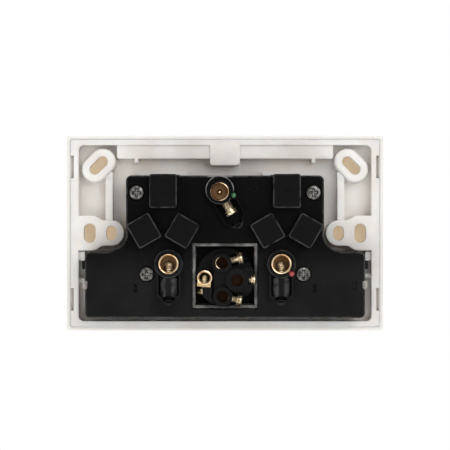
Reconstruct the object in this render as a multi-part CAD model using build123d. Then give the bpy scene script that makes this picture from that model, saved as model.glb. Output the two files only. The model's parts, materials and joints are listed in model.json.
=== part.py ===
from build123d import *
import os
from math import cos, radians, sin, tan

# Double wall socket with an extra switch, in millimetres.
# The wall plane is Y = 0, the front faces -Y, the wiring side faces +Y and +Z is up.

# Front plate
PLATE_W = 117.0
PLATE_H = 72.0
PLATE_D = 10.0
PLATE_CORNER_R = 1.2
COVER_SKIN = 1.8
COVER_WALL = 1.3
COVER_SETBACK = 0.3
COVER_EDGE_R = 1.0

# Snap barbs of the cover and their notches in the rim
CLIP_Z = 24.5
CLIP_LENGTH = 8.3
CLIP_DEPTH = 1.1
CLIP_LEDGE = 3.2
BARB_H = 2.2
BARB_GAP = 0.2

# Carrier plate: rim and floor
SIDE_GAP = 0.12
SKIN_GAP = 0.1
FLOOR_T = 1.6
RIM_SIDE = 2.9
RIM_END = 2.0
RIM_CORNER_R = 1.5
OPENING_R = 2.0

# Fixing ears with an inner and an outer pair of slots
FIX_PITCH = 84.0
FIX_SLOT_W = 3.85
FIX_SLOT_L = 5.55
OUTER_PITCH = 100.0
OUTER_SLOT_W = 4.4
OUTER_SLOT_L = 7.1
EAR_LOBE_R = 4.8
EAR_ROOT_H = 13.0
EAR_T = 2.5
EAR_WALL = 1.4
EAR_SLOPE = 2.8
EAR_BLEND_R = 1.8
EAR_EDGE_R = 0.5

# Slotted corner bosses and the ribs that run from them to the ears
CORNER_IN = 7.48
CORNER_UP = 7.58
CORNER_L = 13.6
CORNER_W = 9.6
CORNER_SLOT_L = 8.0
CORNER_SLOT_W = 4.0
CORNER_WALL = 1.5
CORNER_DRAFT = 3.0
CORNER_EDGE_R = 1.1
CORNER_TURN = 45
RIB_X = 42.9
RIB_T = 2.6
RIB_SET = 0.8

# Raised bar and block along the lower rim
BAR_L = 80.2
BAR_H = 5.1
BAR_SET = 1.0
BAR_CORNER_R = 1.0
BLOCK_W = 11.2
BLOCK_H = 7.6
BLOCK_CORNER_R = 1.2
NUB_W = 1.4
NUB_L = 1.4
NUB_X = 32.8
BAR_EDGE_R = 0.4

# Round prints of the moulding pins on the bar and on the floor
PRINT_R = 1.95
BAR_PRINT_X = 37.0
BAR_PRINT_H = 0.25
FLOOR_PRINT_X = -45.1
FLOOR_PRINT_Z = -16.3
FLOOR_PRINT_D = 0.2

# Ledges and stiffeners beside the housing
LEDGE_DROP = 22.23
LEDGE_H = 3.3
LEDGE_W = 2.2
LEDGE_SET = 1.5
STIFF_T = 1.5
STIFF_SET = 3.0
STIFF_LEFT_DROP = 13.13
STIFF_RIGHT_DROP = 14.93

# Rear housing outline
HOUSING_REAR = 12.0
NARROW_W = 71.8
NARROW_Z = -20.95
END_GAP = 3.41
SHOULDER_Z = 6.7
TOP_GAP = 1.85
LOBE_GAP = 1.5
HOUSING_CORNER_R = 2.0
HOUSING_EDGE_R = 0.8

# Snap tongues that hold the housing's ends
TONGUE_DROP = 11.83
TONGUE_W = 2.6
TONGUE_T = 1.2
TONGUE_NOSE = 0.7
TONGUE_REACH = 5.0
TONGUE_GAP = 0.3
TAB_DROP = 19.23
TAB_L = 3.0
TAB_T = 1.0
GROOVE_X = 46.9
GROOVE_W = 1.8
GROOVE_L = 3.2
GROOVE_D = 0.6

# Sockets: flat pins, two on a slant and one upright
SOCKET_PITCH = 44.4
SOCKET_Z = -4.9
PIN_X = 6.86
PIN_Z = 3.96
PIN_SLANT = 60.0
EARTH_DROP = 10.31
PIN_W = 6.35
PIN_T = 1.63
PIN_ROOM = 0.35
PIN_LEAD = 0.5
PAD_R = 15.5
PAD_GAP = 0.15
FENCE_X = 23.25
FENCE_W = 18.6
FENCE_T = 1.25
FENCE_SET = 2.0
FENCE_GAP = 0.3

# Square bosses over the contacts
BOSS_H = 6.0
BOSS_L = 10.0
BOSS_W = 9.3
EARTH_BOSS_L = 12.3
EARTH_BOSS_W = 10.0
BOSS_CORNER_R = 0.9
BOSS_EDGE_R = 0.7
DIMPLE_R = 1.1
DIMPLE_D = 0.4
CLIP_SHARE = 0.33

# Small moulded pockets beside the upper housing screws
POCKET_X = 32.4
POCKET_DROP = 10.83
POCKET_W = 1.3
POCKET_L = 3.2
POCKET_D = 1.2

# Sheet brass contacts and strips
SHEET_T = 0.6
STRIP_T = 0.8
STRIP_BEND_R = 1.4
CLIP_BEND_R = 0.8
CONTACT_W = 6.0
CONTACT_GRIP = 1.3
CONTACT_MOUTH = 3.6
CONTACT_BELLY = 3.2
CONTACT_SET = 0.8
CONTACT_NECK = 3.0
CONTACT_FLARE = 5.0
POCKET_GAP = 0.25
DROP_X = 34.3
BUS_Z = -8.0
FEED_Z = 5.0
TOP_BUS_DROP = 1.83

# Wire terminals
TERMINAL_X = 20.3
TERMINAL_DROP = 19.73
EARTH_X = -1.9
EARTH_Z = -15.0
EARTH_COLLAR_UP = 0.6
EARTH_LEAN = 61.0
BARREL_R = 3.75
BARREL_FRONT = 8.5
BARREL_REAR = 16.2
BARREL_END = 1.0
BARREL_EDGE = 0.2
BORE_R = 3.0
LEAD_R = 3.2
LEAD_L = 1.7
CLAMP_Y = 12.6
BARREL_GAP = 0.15
COLLAR_R = 5.15
COLLAR_REAR = 16.5
COLLAR_EDGE_R = 0.5
CHANNEL_W = 8.8
CHANNEL_L = 13.3
CHANNEL_REAR = 15.2
CHANNEL_WALL = 0.75
CHANNEL_CHAMFER = 1.5
CHANNEL_FLOOR = 9.9
ROOF_T = 0.6
ROOF_START = 5.2
ROOF_END = 12.0
EARTH_CHANNEL_L = 13.0

# Clamp screws of the wire terminals
CLAMP_R = 1.75
CLAMP_L = 4.6
CLAMP_HEAD_R = 2.3
CLAMP_HEAD_T = 1.7
THREAD_FIT = 0.05
CLAMP_ROOM = 0.3
CLAMP_OPEN = 0.1
CLAMP_IN = 3.75
RECESS_W = 0.9
RECESS_D = 0.8
ACCESS_SLOPE = 45.0

# Shape of every screw, as shares of its own sizes
POINT_SHARE = 0.25
HEAD_ROUND_SHARE = 0.33
CROSS_SHARE = 0.67

# Screws that hold the housing to the carrier
LOWER_SCREW_X = 32.0
LOWER_SCREW_Z = -14.7
UPPER_SCREW_X = 28.4
UPPER_SCREW_DROP = 15.93
FIXING_R = 1.45
FIXING_HEAD_R = 2.65
FIXING_HEAD_T = 1.9
FIXING_SEAT = 1.4
FIXING_TIP = 0.8
POST_R = 2.6
POST_REAR = -1.0
POST_GAP = 0.2

# Rocker switches
ROCKER_X = 38.0
ROCKER_DROP = 14.63
ROCKER_W = 10.6
ROCKER_H = 16.0
ROCKER_GAP_X = 0.25
ROCKER_GAP_Z = 0.8
ROCKER_PROUD = 0.7
ROCKER_CROWN = 0.8
ROCKER_SKIRT = 3.1
ROCKER_WALL = 1.5
ROCKER_EDGE_R = 0.5
ROCKER_THROW = 12.0
PIVOT_SET = 1.4
AXLE_R = 1.2
AXLE_L = 1.2
AXLE_GAP = 0.06
CHEEK_T = 1.3
CHEEK_H = 4.4
LUG_GAP = 0.25
LUG_T = 1.2
LUG_H = 5.0
TUBE_R = 2.5
TUBE_REAR = -1.5
PLUNGER_R = 1.4
PLUNGER_L = 5.2
PLUNGER_GAP = 0.2
SPRING_R = 1.35
SPRING_WIRE = 0.4
GUIDE_GAP = 0.1

# Tilting contact levers under the rockers
LEVER_Y = 2.3
LEVER_L = 14.0
LEVER_W = 4.0
LEVER_T = 0.8
LEVER_THROW = 18.0
LEVER_GAP = 0.15
BUTTON_R = 1.3
BUTTON_T = 0.45
BUTTON_Z = 5.6
BUTTON_GAP = 0.2
HORN_W = 0.8
HORN_H = 1.4
HORN_GAP = 0.3
WELL_W = 11.2
WELL_GAP = 0.5

# Extra switch: a round body in a square collar
WINDOW = 24.2
WINDOW_DROP = 15.13
COLLAR_GAP = 0.25
COLLAR_T = 1.0
COLLAR_TOP = 5.6
MECH_R = 10.6
MECH_GAP = 0.2
MECH_REAR = 7.0
MECH_WELL_W = 7.2
SNAP_L = 4.0
SNAP_H = 1.6
SNAP_Y = 0.0
SNAP_PROUD = 0.5
SMALL_BARREL_R = 2.75
SMALL_BORE_R = 2.0
SMALL_LEAD_R = 2.25
SMALL_LEAD_L = 0.9
SMALL_END = 1.0
SMALL_CLAMP_Y = 8.2
SMALL_CLAMP_R = 1.25
SMALL_HEAD_R = 2.15
SMALL_HEAD_T = 1.9
SMALL_OPEN = 0.1
SMALL_IN = 2.9
SMALL_RECESS_W = 0.7
SMALL_RECESS_D = 0.6

# Extra switch terminals: place from the body's centre, turret, rear end, screw direction and screw length
COMMON_AT = (4.4, 0.9)
COMMON_TURRET_R = 4.2
COMMON_REAR = 10.9
COMMON_LEAN = 0.0
COMMON_SCREW_L = 3.0
LOWER_AT = (-1.2, -5.3)
LOWER_LEAN = -14.0
LOWER_SCREW_L = 4.0
UPPER_AT = (-0.9, 6.9)
UPPER_LEAN = 14.0
UPPER_SCREW_L = 3.3
WAY_TURRET_R = 3.5
WAY_REAR = 10.2
TURRET_LIP = 0.8
LOOP_AT = (-7.4, 0.1)
LOOP_LEAN = 96.0
LOOP_SCREW_L = 5.2
LOOP_REAR = 10.5
LOOP_FOOT_W = 4.9
LOOP_FOOT_L = 3.25
FIN = ((-8.2, 3.7), (-4.6, 3.7), (-5.0, 7.0), (-3.8, 9.7), (-5.2, 9.2), (-8.2, 6.6))
FIN_REAR = 11.3
BRIDGE_LEFT = -4.0
BRIDGE_RIGHT = 2.4
BRIDGE_REAR = 9.6
SNOUT_X = 10.2
SNOUT_ROOT_W = 8.0
SNOUT_TIP_W = 9.6
SNOUT_REAR = 10.2
FOOT_REAR = -3.5

# Coloured marks beside the earth and active terminals
MARK_R = 1.05
MARK_H = 0.6
MARK_ON = 3.55
MARK_ASIDE = 3.7
MARK_RIM = 0.35

# Worked out from the driving sizes
plate_front = -PLATE_D
cover_inside = plate_front + COVER_SKIN
floor_front = cover_inside + SKIN_GAP
floor_rear = floor_front + FLOOR_T
cover_rear = -COVER_SETBACK
cover_inner_w = PLATE_W - 2 * COVER_WALL
cover_inner_h = PLATE_H - 2 * COVER_WALL
grid_w = cover_inner_w - 2 * SIDE_GAP
grid_h = cover_inner_h - 2 * SIDE_GAP
opening_w = grid_w - 2 * RIM_SIDE
opening_h = grid_h - 2 * RIM_END
wide_w = opening_w - 2 * END_GAP
top_z = opening_h / 2 - TOP_GAP
corner_x = opening_w / 2 - CORNER_IN
corner_z = CORNER_UP - opening_h / 2
rocker_z = top_z - ROCKER_DROP
window_z = top_z - WINDOW_DROP
terminal_z = top_z - TERMINAL_DROP
top_bus_z = top_z - TOP_BUS_DROP
upper_screw_z = top_z - UPPER_SCREW_DROP
tongue_z = top_z - TONGUE_DROP
tab_z = top_z - TAB_DROP
ledge_z = top_z - LEDGE_DROP
boss_rear = HOUSING_REAR + BOSS_H
contact_front = floor_rear + CONTACT_SET
contact_rear = HOUSING_REAR + BOSS_H * CLIP_SHARE
strip_front = LEVER_Y + LEVER_GAP
pivot_y = floor_rear + PIVOT_SET
rocker_end = plate_front - ROCKER_PROUD
plunger_tip = LEVER_Y - LEVER_T - PLUNGER_GAP
lever_tilt = LEVER_THROW / 2
rocker_tilt = ROCKER_THROW / 2
button_reach = BUTTON_Z * sin(radians(lever_tilt)) + BUTTON_T
fixed_front = LEVER_Y + button_reach + BUTTON_GAP + BUTTON_T
fixed_rear = fixed_front + STRIP_T
well_h = LEVER_L + 2 * WELL_GAP
lever_room = LEVER_Y + LEVER_L / 2 * sin(radians(lever_tilt)) + WELL_GAP
collar_out = WINDOW - 2 * COLLAR_GAP
collar_in = collar_out - 2 * COLLAR_T
foot_w = collar_in - 2 * COLLAR_GAP
screw_spots = [
    (side * x, z)
    for x, z in ((LOWER_SCREW_X, LOWER_SCREW_Z), (UPPER_SCREW_X, upper_screw_z))
    for side in (-1, 1)
]
switch_spots = {"left": -ROCKER_X, "extra": 0.0, "right": ROCKER_X}


# Shared shapes


def slab(sketch, front, rear):
    """A sketch in X and Z, carried along Y from front to rear."""
    return extrude(Pos(0, rear, 0) * (Plane.XZ * sketch), amount=rear - front)


def block(x0, x1, front, rear, z0, z1):
    """A box between two corners."""
    size = (x1 - x0, rear - front, z1 - z0)
    return Pos((x0 + x1) / 2, (front + rear) / 2, (z0 + z1) / 2) * Box(*size)


def along(angle):
    """Unit direction in X and Z, turned from +X towards +Z."""
    return cos(radians(angle)), sin(radians(angle))


def moved(point, angle, distance):
    """A point in X and Z, carried along a direction."""
    ux, uz = along(angle)
    return point[0] + distance * ux, point[1] + distance * uz


def rod(radius, point, y, angle, start, end):
    """A cylinder in the X-Z plane at depth y, from one distance to another along a direction."""
    ux, uz = along(angle)
    x, z = moved(point, angle, start)
    plane = Plane(origin=(x, y, z), x_dir=(0, 1, 0), z_dir=(ux, 0, uz))
    return extrude(plane * Circle(radius), amount=end - start)


def lengthened(points, extra):
    """A route with both ends carried on by a little."""
    first, last = Vector(*points[0]), Vector(*points[-1])
    start = first + (first - Vector(*points[1])).normalized() * extra
    end = last + (last - Vector(*points[-2])).normalized() * extra
    return [(start.X, start.Y), *points[1:-1], (end.X, end.Y)]


def ribbon(points, width):
    """Outline of a bent strip seen on edge, with rounded bends."""
    if len(points) > 2:
        route = FilletPolyline(*points, radius=STRIP_BEND_R)
    else:
        route = Line(*points)
    return trace(route, line_width=width)


def on_edge(points):
    """A brass strip that stands on edge between the levers and the terminals."""
    return slab(ribbon(points, STRIP_T), strip_front, BARREL_FRONT)


def trough(points):
    """Room for a strip, open to the housing's front."""
    route = lengthened(points, POCKET_GAP)
    return slab(ribbon(route, STRIP_T + 2 * POCKET_GAP), floor_rear, BARREL_FRONT)


# Socket pins


def socket_pins(x):
    """Place and slant of the active, neutral and earth pins of the socket at x."""
    top = SOCKET_Z + PIN_Z
    return {
        "active": ((x - PIN_X, top), PIN_SLANT),
        "neutral": ((x + PIN_X, top), 180 - PIN_SLANT),
        "earth": ((x, SOCKET_Z - EARTH_DROP), 90.0),
    }


socket_spots = {"left": -SOCKET_PITCH / 2, "right": SOCKET_PITCH / 2}
pins = {side: socket_pins(x) for side, x in socket_spots.items()}
all_pins = [pin for one in pins.values() for pin in one.values()]


def pin_sketch(pin, length, width):
    """A rectangle set along one pin."""
    (x, z), slant = pin
    return Pos(x, z) * Rot(0, 0, slant) * Rectangle(length, width)


# Cover plate


def cover_plate():
    """Snap-on front cover: a shallow tray with openings for the socket faces and rockers."""
    tray = slab(RectangleRounded(PLATE_W, PLATE_H, PLATE_CORNER_R), plate_front, cover_rear)
    front_edges = tray.faces().sort_by(Axis.Y)[0].edges()
    tray = fillet(front_edges, COVER_EDGE_R)
    tray -= slab(Rectangle(cover_inner_w, cover_inner_h), cover_inside, cover_rear)
    for x in socket_spots.values():
        tray -= slab(Pos(x, SOCKET_Z) * Circle(PAD_R + PAD_GAP), plate_front, cover_inside)
    for x in switch_spots.values():
        tray -= slab(rocker_window(x), plate_front, cover_inside)
    reach = CLIP_DEPTH + SIDE_GAP - BARB_GAP
    catch = -CLIP_LEDGE + BARB_GAP
    wall = cover_inner_w / 2
    barb = Polyline((wall, catch), (wall - reach, catch), (wall, catch + BARB_H), close=True)
    solid = extrude(make_face(barb), amount=CLIP_LENGTH / 2 - BARB_GAP, both=True)
    for z in (-CLIP_Z, CLIP_Z):
        tray += Pos(0, 0, z) * solid
        tray += Pos(0, 0, z) * mirror(solid, about=Plane.YZ)
    return tray


def rocker_window(x):
    """Opening for one rocker."""
    size = (ROCKER_W + 2 * ROCKER_GAP_X, ROCKER_H + 2 * ROCKER_GAP_Z)
    return Pos(x, rocker_z) * Rectangle(*size)


# Carrier plate


def ear_outline():
    """The right ear: a broad root that narrows to a round lobe."""
    lobe_x = FIX_PITCH / 2
    root_x = grid_w / 2 - RIM_SIDE / 2
    step_x = (lobe_x + OUTER_PITCH / 2 + EAR_SLOPE / 2) / 2
    half = EAR_ROOT_H / 2
    points = [
        (root_x, half),
        (step_x + EAR_SLOPE / 2, half),
        (step_x - EAR_SLOPE / 2, EAR_LOBE_R),
        (lobe_x, EAR_LOBE_R),
    ]
    upper = FilletPolyline(*points, radius=EAR_BLEND_R)
    lower = mirror(upper, about=Plane.XZ)
    lobe = ThreePointArc(points[-1], (lobe_x - EAR_LOBE_R, 0), (lobe_x, -EAR_LOBE_R))
    root = Line((root_x, -half), (root_x, half))
    return make_face(upper.edges() + lower.edges() + lobe.edges() + root.edges())


def ear():
    """The right ear as a cup, open to the front, with its two slots."""
    outline = ear_outline()
    cup = slab(outline, floor_front, 0)
    cup = fillet(cup.faces().sort_by(Axis.Y)[-1].edges(), EAR_EDGE_R)
    pocket = slab(offset(outline, -EAR_WALL), floor_front, -EAR_T)
    slots = Pos(FIX_PITCH / 2, 0) * SlotOverall(FIX_SLOT_L, FIX_SLOT_W, rotation=90)
    slots += Pos(OUTER_PITCH / 2, 0) * SlotOverall(OUTER_SLOT_L, OUTER_SLOT_W, rotation=90)
    return cup, pocket + slab(slots, floor_front, 0)


def corner_boss():
    """The right corner boss: a drafted obround cup with a slanted slot."""
    place = Pos(corner_x, corner_z) * Rot(0, 0, CORNER_TURN)
    rim = Plane.XZ * (place * SlotOverall(CORNER_L, CORNER_W))
    cup = extrude(rim, amount=-floor_front, taper=-CORNER_DRAFT)
    cup = fillet(cup.faces().sort_by(Axis.Y)[-1].edges(), CORNER_EDGE_R)
    hollow = SlotOverall(CORNER_L - 2 * CORNER_WALL, CORNER_W - 2 * CORNER_WALL)
    pocket = slab(place * hollow, floor_front, -EAR_T)
    slot = slab(place * SlotOverall(CORNER_SLOT_L, CORNER_SLOT_W), floor_front, 0)
    return cup, pocket + slot


def both_sides(solid):
    """A solid and its mirror image across the middle of the plate."""
    return solid + mirror(solid, about=Plane.YZ)


def lower_bar():
    """Raised bar and block along the lower rim, with two moulding nubs."""
    edge = -opening_h / 2
    bar = Pos(0, edge + BAR_H / 2) * RectangleRounded(BAR_L, BAR_H, BAR_CORNER_R)
    bar += Pos(0, edge) * Rectangle(BAR_L, BAR_H)
    solid = slab(bar, floor_rear, -BAR_SET)
    solid = fillet(solid.faces().sort_by(Axis.Y)[-1].edges(), BAR_EDGE_R)
    solid += slab(Pos(BAR_PRINT_X, edge + BAR_H / 2) * Circle(PRINT_R), -BAR_SET, BAR_PRINT_H - BAR_SET)
    for x in (-NUB_X, NUB_X):
        nub_z = edge + BAR_H
        solid += block(x - NUB_W / 2, x + NUB_W / 2, floor_rear, -BAR_SET, nub_z - NUB_L, nub_z + NUB_L)
    step = Pos(0, edge + BLOCK_H / 2) * RectangleRounded(BLOCK_W, BLOCK_H, BLOCK_CORNER_R)
    step += Pos(0, edge) * Rectangle(BLOCK_W, BLOCK_H)
    lump = slab(step, floor_rear, 0)
    lump = fillet(lump.faces().sort_by(Axis.Y)[-1].edges(), BAR_EDGE_R)
    limit = slab(Rectangle(grid_w - RIM_SIDE, grid_h - RIM_END), floor_front, 0)
    return (solid + lump) & limit


def snap_tongue(side):
    """An upright tongue whose nose holds the housing's end."""
    outer = side * (wide_w / 2 + TONGUE_T)
    face = side * wide_w / 2
    nose = side * (wide_w / 2 - TONGUE_NOSE)
    tip = TONGUE_REACH + 2 * TONGUE_NOSE
    points = [
        (outer, floor_rear),
        (face + side * TONGUE_GAP, floor_rear),
        (face + side * TONGUE_GAP, TONGUE_REACH),
        (nose, TONGUE_REACH),
        (outer, tip),
    ]
    shape = extrude(make_face(Polyline(*points, close=True)), amount=TONGUE_W / 2, both=True)
    return Pos(0, 0, tongue_z) * shape


def axle_lugs(x):
    """Two lugs behind the floor with open seats for a rocker's axles."""
    inner = ROCKER_W / 2 + LUG_GAP
    solid = None
    for side in (-1, 1):
        ends = sorted((x + side * inner, x + side * (inner + LUG_T)))
        lug = block(*ends, floor_rear, pivot_y + AXLE_R, rocker_z - LUG_H / 2, rocker_z + LUG_H / 2)
        solid = lug if solid is None else solid + lug
    seat_r = AXLE_R + AXLE_GAP
    span = inner + LUG_T
    seat = rod(seat_r, (x, rocker_z), pivot_y, 0, -span, span)
    seat += block(x - span, x + span, pivot_y, pivot_y + AXLE_R, rocker_z - seat_r, rocker_z + seat_r)
    return solid - seat


def socket_fences():
    """Low straight walls behind the sockets, seen past the housing's lower edge."""
    z = NARROW_Z - FENCE_GAP - FENCE_T / 2
    shape = Sketch() + [Pos(x, z) * Rectangle(FENCE_W, FENCE_T) for x in (-FENCE_X, FENCE_X)]
    for one in pins.values():
        spot, _ = one["earth"]
        shape -= Pos(*spot) * Rectangle(EARTH_BOSS_W + 2 * FENCE_GAP, EARTH_BOSS_L + 2 * FENCE_GAP)
    return slab(shape, floor_rear, -FENCE_SET)


def grid_plate():
    """White carrier: rim, floor, ears, corner bosses, bar, socket faces and switch seats."""
    outline = RectangleRounded(grid_w, grid_h, RIM_CORNER_R)
    plate = slab(outline, floor_front, 0)
    plate -= slab(RectangleRounded(opening_w, opening_h, OPENING_R), floor_rear, 0)
    ear_cup, ear_cut = ear()
    boss_cup, boss_cut = corner_boss()
    rib_ends = (corner_z + CORNER_W / 2, -EAR_LOBE_R + EAR_WALL)
    rib = block(RIB_X - RIB_T / 2, RIB_X + RIB_T / 2, floor_rear, -RIB_SET, *rib_ends)
    plate += both_sides(ear_cup + boss_cup + rib)
    plate -= both_sides(ear_cut)
    plate -= both_sides(boss_cut)
    plate += lower_bar()
    rim_x = opening_w / 2
    ledge_low = ledge_z - LEDGE_H / 2
    ledge = block(rim_x - LEDGE_W, rim_x, floor_rear, -LEDGE_SET, ledge_low, ledge_low + LEDGE_H)
    plate += both_sides(ledge)
    for side, z in ((-1, top_z - STIFF_LEFT_DROP), (1, top_z - STIFF_RIGHT_DROP)):
        ends = sorted((side * (wide_w / 2 + TONGUE_T), side * rim_x))
        plate += block(*ends, floor_rear, -STIFF_SET, z - STIFF_T / 2, z + STIFF_T / 2)
        plate += snap_tongue(side)
    for x, z in screw_spots:
        plate += slab(Pos(x, z) * Circle(POST_R), floor_rear, POST_REAR)
    for x in socket_spots.values():
        plate += slab(Pos(x, SOCKET_Z) * Circle(PAD_R), plate_front, floor_rear)
    plate += socket_fences()
    square = Pos(0, window_z) * (Rectangle(collar_out, collar_out) - Rectangle(collar_in, collar_in))
    plate += slab(square, floor_rear, COLLAR_TOP)
    plate -= slab(Pos(FLOOR_PRINT_X, FLOOR_PRINT_Z) * Circle(PRINT_R), floor_rear - FLOOR_PRINT_D, floor_rear)
    return plate - grid_cuts()


def grid_cuts():
    """Pin slots, rocker windows, screw holes, barb notches and the extra switch's seat."""
    cuts = slab(Pos(0, rocker_z) * Circle(MECH_R + MECH_GAP), floor_rear, COLLAR_TOP)
    for pin in all_pins:
        length = PIN_W + 2 * PIN_ROOM
        width = PIN_T + 2 * PIN_ROOM
        mouth = pin_sketch(pin, length + 2 * PIN_LEAD, width + 2 * PIN_LEAD)
        cuts += slab(pin_sketch(pin, length, width), plate_front, floor_rear)
        cuts += slab(mouth, plate_front, plate_front + PIN_LEAD)
    for x in switch_spots.values():
        cuts += slab(rocker_window(x), floor_front, floor_rear)
    for x, z in screw_spots:
        cuts += slab(Pos(x, z) * Circle(FIXING_R + THREAD_FIT), floor_rear, POST_REAR)
    snap = block(
        -MECH_R - COLLAR_T - COLLAR_GAP - MECH_GAP,
        MECH_R + COLLAR_T + COLLAR_GAP + MECH_GAP,
        SNAP_Y - SNAP_H / 2 - MECH_GAP,
        SNAP_Y + SNAP_H / 2 + MECH_GAP,
        rocker_z - SNAP_L / 2 - MECH_GAP,
        rocker_z + SNAP_L / 2 + MECH_GAP,
    )
    notch_x = grid_w / 2 - CLIP_DEPTH
    for z in (-CLIP_Z, CLIP_Z):
        notch = block(notch_x, grid_w / 2, -CLIP_LEDGE, 0, z - CLIP_LENGTH / 2, z + CLIP_LENGTH / 2)
        cuts += both_sides(notch)
    return cuts + snap


# Rear housing


def housing_outline():
    """A narrow lower part, a wide upper part and hollows around the ear lobes."""
    low = Pos(0, (NARROW_Z + top_z) / 2) * RectangleRounded(NARROW_W, top_z - NARROW_Z, HOUSING_CORNER_R)
    wide = Pos(0, (SHOULDER_Z + top_z) / 2) * RectangleRounded(wide_w, top_z - SHOULDER_Z, HOUSING_CORNER_R)
    shoulder = Pos(0, SHOULDER_Z / 2) * Rectangle(FIX_PITCH, SHOULDER_Z)
    outline = low + wide + shoulder
    for side in (-1, 1):
        outline -= Pos(side * FIX_PITCH / 2, 0) * Circle(EAR_LOBE_R + LOBE_GAP)
    return outline


def contact_boss(pin, length, width):
    """A square boss over one contact, with rounded rear edges."""
    (x, z), slant = pin
    sketch = Pos(x, z) * Rot(0, 0, slant) * RectangleRounded(length, width, BOSS_CORNER_R)
    boss = slab(sketch, floor_rear, boss_rear)
    return fillet(boss.faces().sort_by(Axis.Y)[-1].edges(), BOSS_EDGE_R)


def channel_sketch(point, lean, length, width):
    """Outline of a screw channel: from the terminal outwards, with cut corners at its end."""
    cut = CHANNEL_CHAMFER
    half = width / 2
    points = [(0, -half), (length - cut, -half), (length, cut - half)]
    points += [(length, half - cut), (length - cut, half), (0, half)]
    return Pos(*point) * Rot(0, 0, lean) * make_face(Polyline(*points, close=True))


def channel(point, lean, length, collar_up):
    """Walls of a screw channel around a terminal, and the trough between them."""
    x, z = point
    walls = slab(channel_sketch(point, lean, length, CHANNEL_W), floor_rear, CHANNEL_REAR)
    inside = channel_sketch(point, lean, length - CHANNEL_WALL, CHANNEL_W - 2 * CHANNEL_WALL)
    ring = slab(Pos(x, z - collar_up) * Circle(COLLAR_R), floor_rear, COLLAR_REAR)
    ring = fillet(ring.faces().sort_by(Axis.Y)[-1].edges(), COLLAR_EDGE_R)
    return walls + ring, slab(inside, CHANNEL_FLOOR, CHANNEL_REAR) - ring


def screw_way(point, lean):
    """Room for a clamp screw's head to run, and a sloping way in for the driver."""
    room_r = CLAMP_HEAD_R + CLAMP_ROOM
    way = rod(room_r, point, CLAMP_Y, lean, 0, CHANNEL_L)
    ux, uz = along(lean)
    x, z = moved(point, lean, ROOF_END)
    rise = sin(radians(ACCESS_SLOPE))
    level = cos(radians(ACCESS_SLOPE))
    plane = Plane(origin=(x, CLAMP_Y, z), x_dir=(-uz, 0, ux), z_dir=(ux * level, rise, uz * level))
    return way + extrude(plane * Circle(room_r), amount=CHANNEL_L)


terminals = {
    "earth": ((EARTH_X, EARTH_Z), EARTH_LEAN),
    "neutral": ((-TERMINAL_X, terminal_z), 90.0),
    "active": ((TERMINAL_X, terminal_z), 90.0),
}


def mark_spot(terminal):
    """Place of a coloured mark, where the collar meets the channel wall."""
    point, lean = terminal
    return moved(moved(point, lean, MARK_ON), lean - 90, MARK_ASIDE)


def rear_housing():
    """Black moulding: stepped body, square contact bosses and terminal towers with screw channels."""
    body = slab(housing_outline(), floor_rear, HOUSING_REAR)
    body = fillet(body.faces().sort_by(Axis.Y)[-1].edges(), HOUSING_EDGE_R)
    for one in pins.values():
        body += contact_boss(one["active"], BOSS_L, BOSS_W)
        body += contact_boss(one["neutral"], BOSS_L, BOSS_W)
        body += contact_boss(one["earth"], EARTH_BOSS_L, EARTH_BOSS_W)
    troughs = None
    for name, (point, lean) in terminals.items():
        length, collar_up = (EARTH_CHANNEL_L, EARTH_COLLAR_UP) if name == "earth" else (CHANNEL_L, 0)
        walls, trough_room = channel(point, lean, length, collar_up)
        body += walls
        troughs = trough_room if troughs is None else troughs + trough_room
    body -= troughs
    roof_r = CLAMP_HEAD_R + CLAMP_ROOM + ROOF_T
    for name in ("neutral", "active"):
        point, lean = terminals[name]
        x, z = point
        body += rod(roof_r, point, CLAMP_Y, lean, ROOF_START, ROOF_END)
        body += block(x - roof_r, x + roof_r, CHANNEL_FLOOR, CLAMP_Y, z + ROOF_START, z + ROOF_END)
    for name in ("earth", "active"):
        pad = Pos(*mark_spot(terminals[name])) * Circle(MARK_R + MARK_RIM)
        body -= slab(pad, CHANNEL_REAR, COLLAR_REAR)
        body += slab(pad, CHANNEL_FLOOR, CHANNEL_REAR)
    for side in (-1, 1):
        ends = sorted((side * (wide_w / 2 - TAB_T), side * (wide_w / 2 + TAB_T)))
        body += block(*ends, POST_REAR, HOUSING_REAR - BOSS_EDGE_R, tab_z - TAB_L / 2, tab_z + TAB_L / 2)
    return body - housing_cuts()


def switch_well(x):
    """Room for a rocker, its axle lugs and its lever, open to the front."""
    half = WELL_W / 2
    well = block(x - half, x + half, floor_rear, lever_room, rocker_z - well_h / 2, rocker_z + well_h / 2)
    lug_x = ROCKER_W / 2 + LUG_GAP + LUG_T + LUG_GAP
    lug_z = LUG_H / 2 + LUG_GAP
    well += block(
        x - lug_x, x + lug_x, floor_rear, pivot_y + AXLE_R + LUG_GAP, rocker_z - lug_z, rocker_z + lug_z
    )
    tab_x = LEVER_W / 2 + 2 * POCKET_GAP
    low_z = rocker_z + BUTTON_Z - BUTTON_R - 2 * POCKET_GAP
    return well + block(x - tab_x, x + tab_x, floor_rear, fixed_rear, low_z, top_bus_z)


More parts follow.
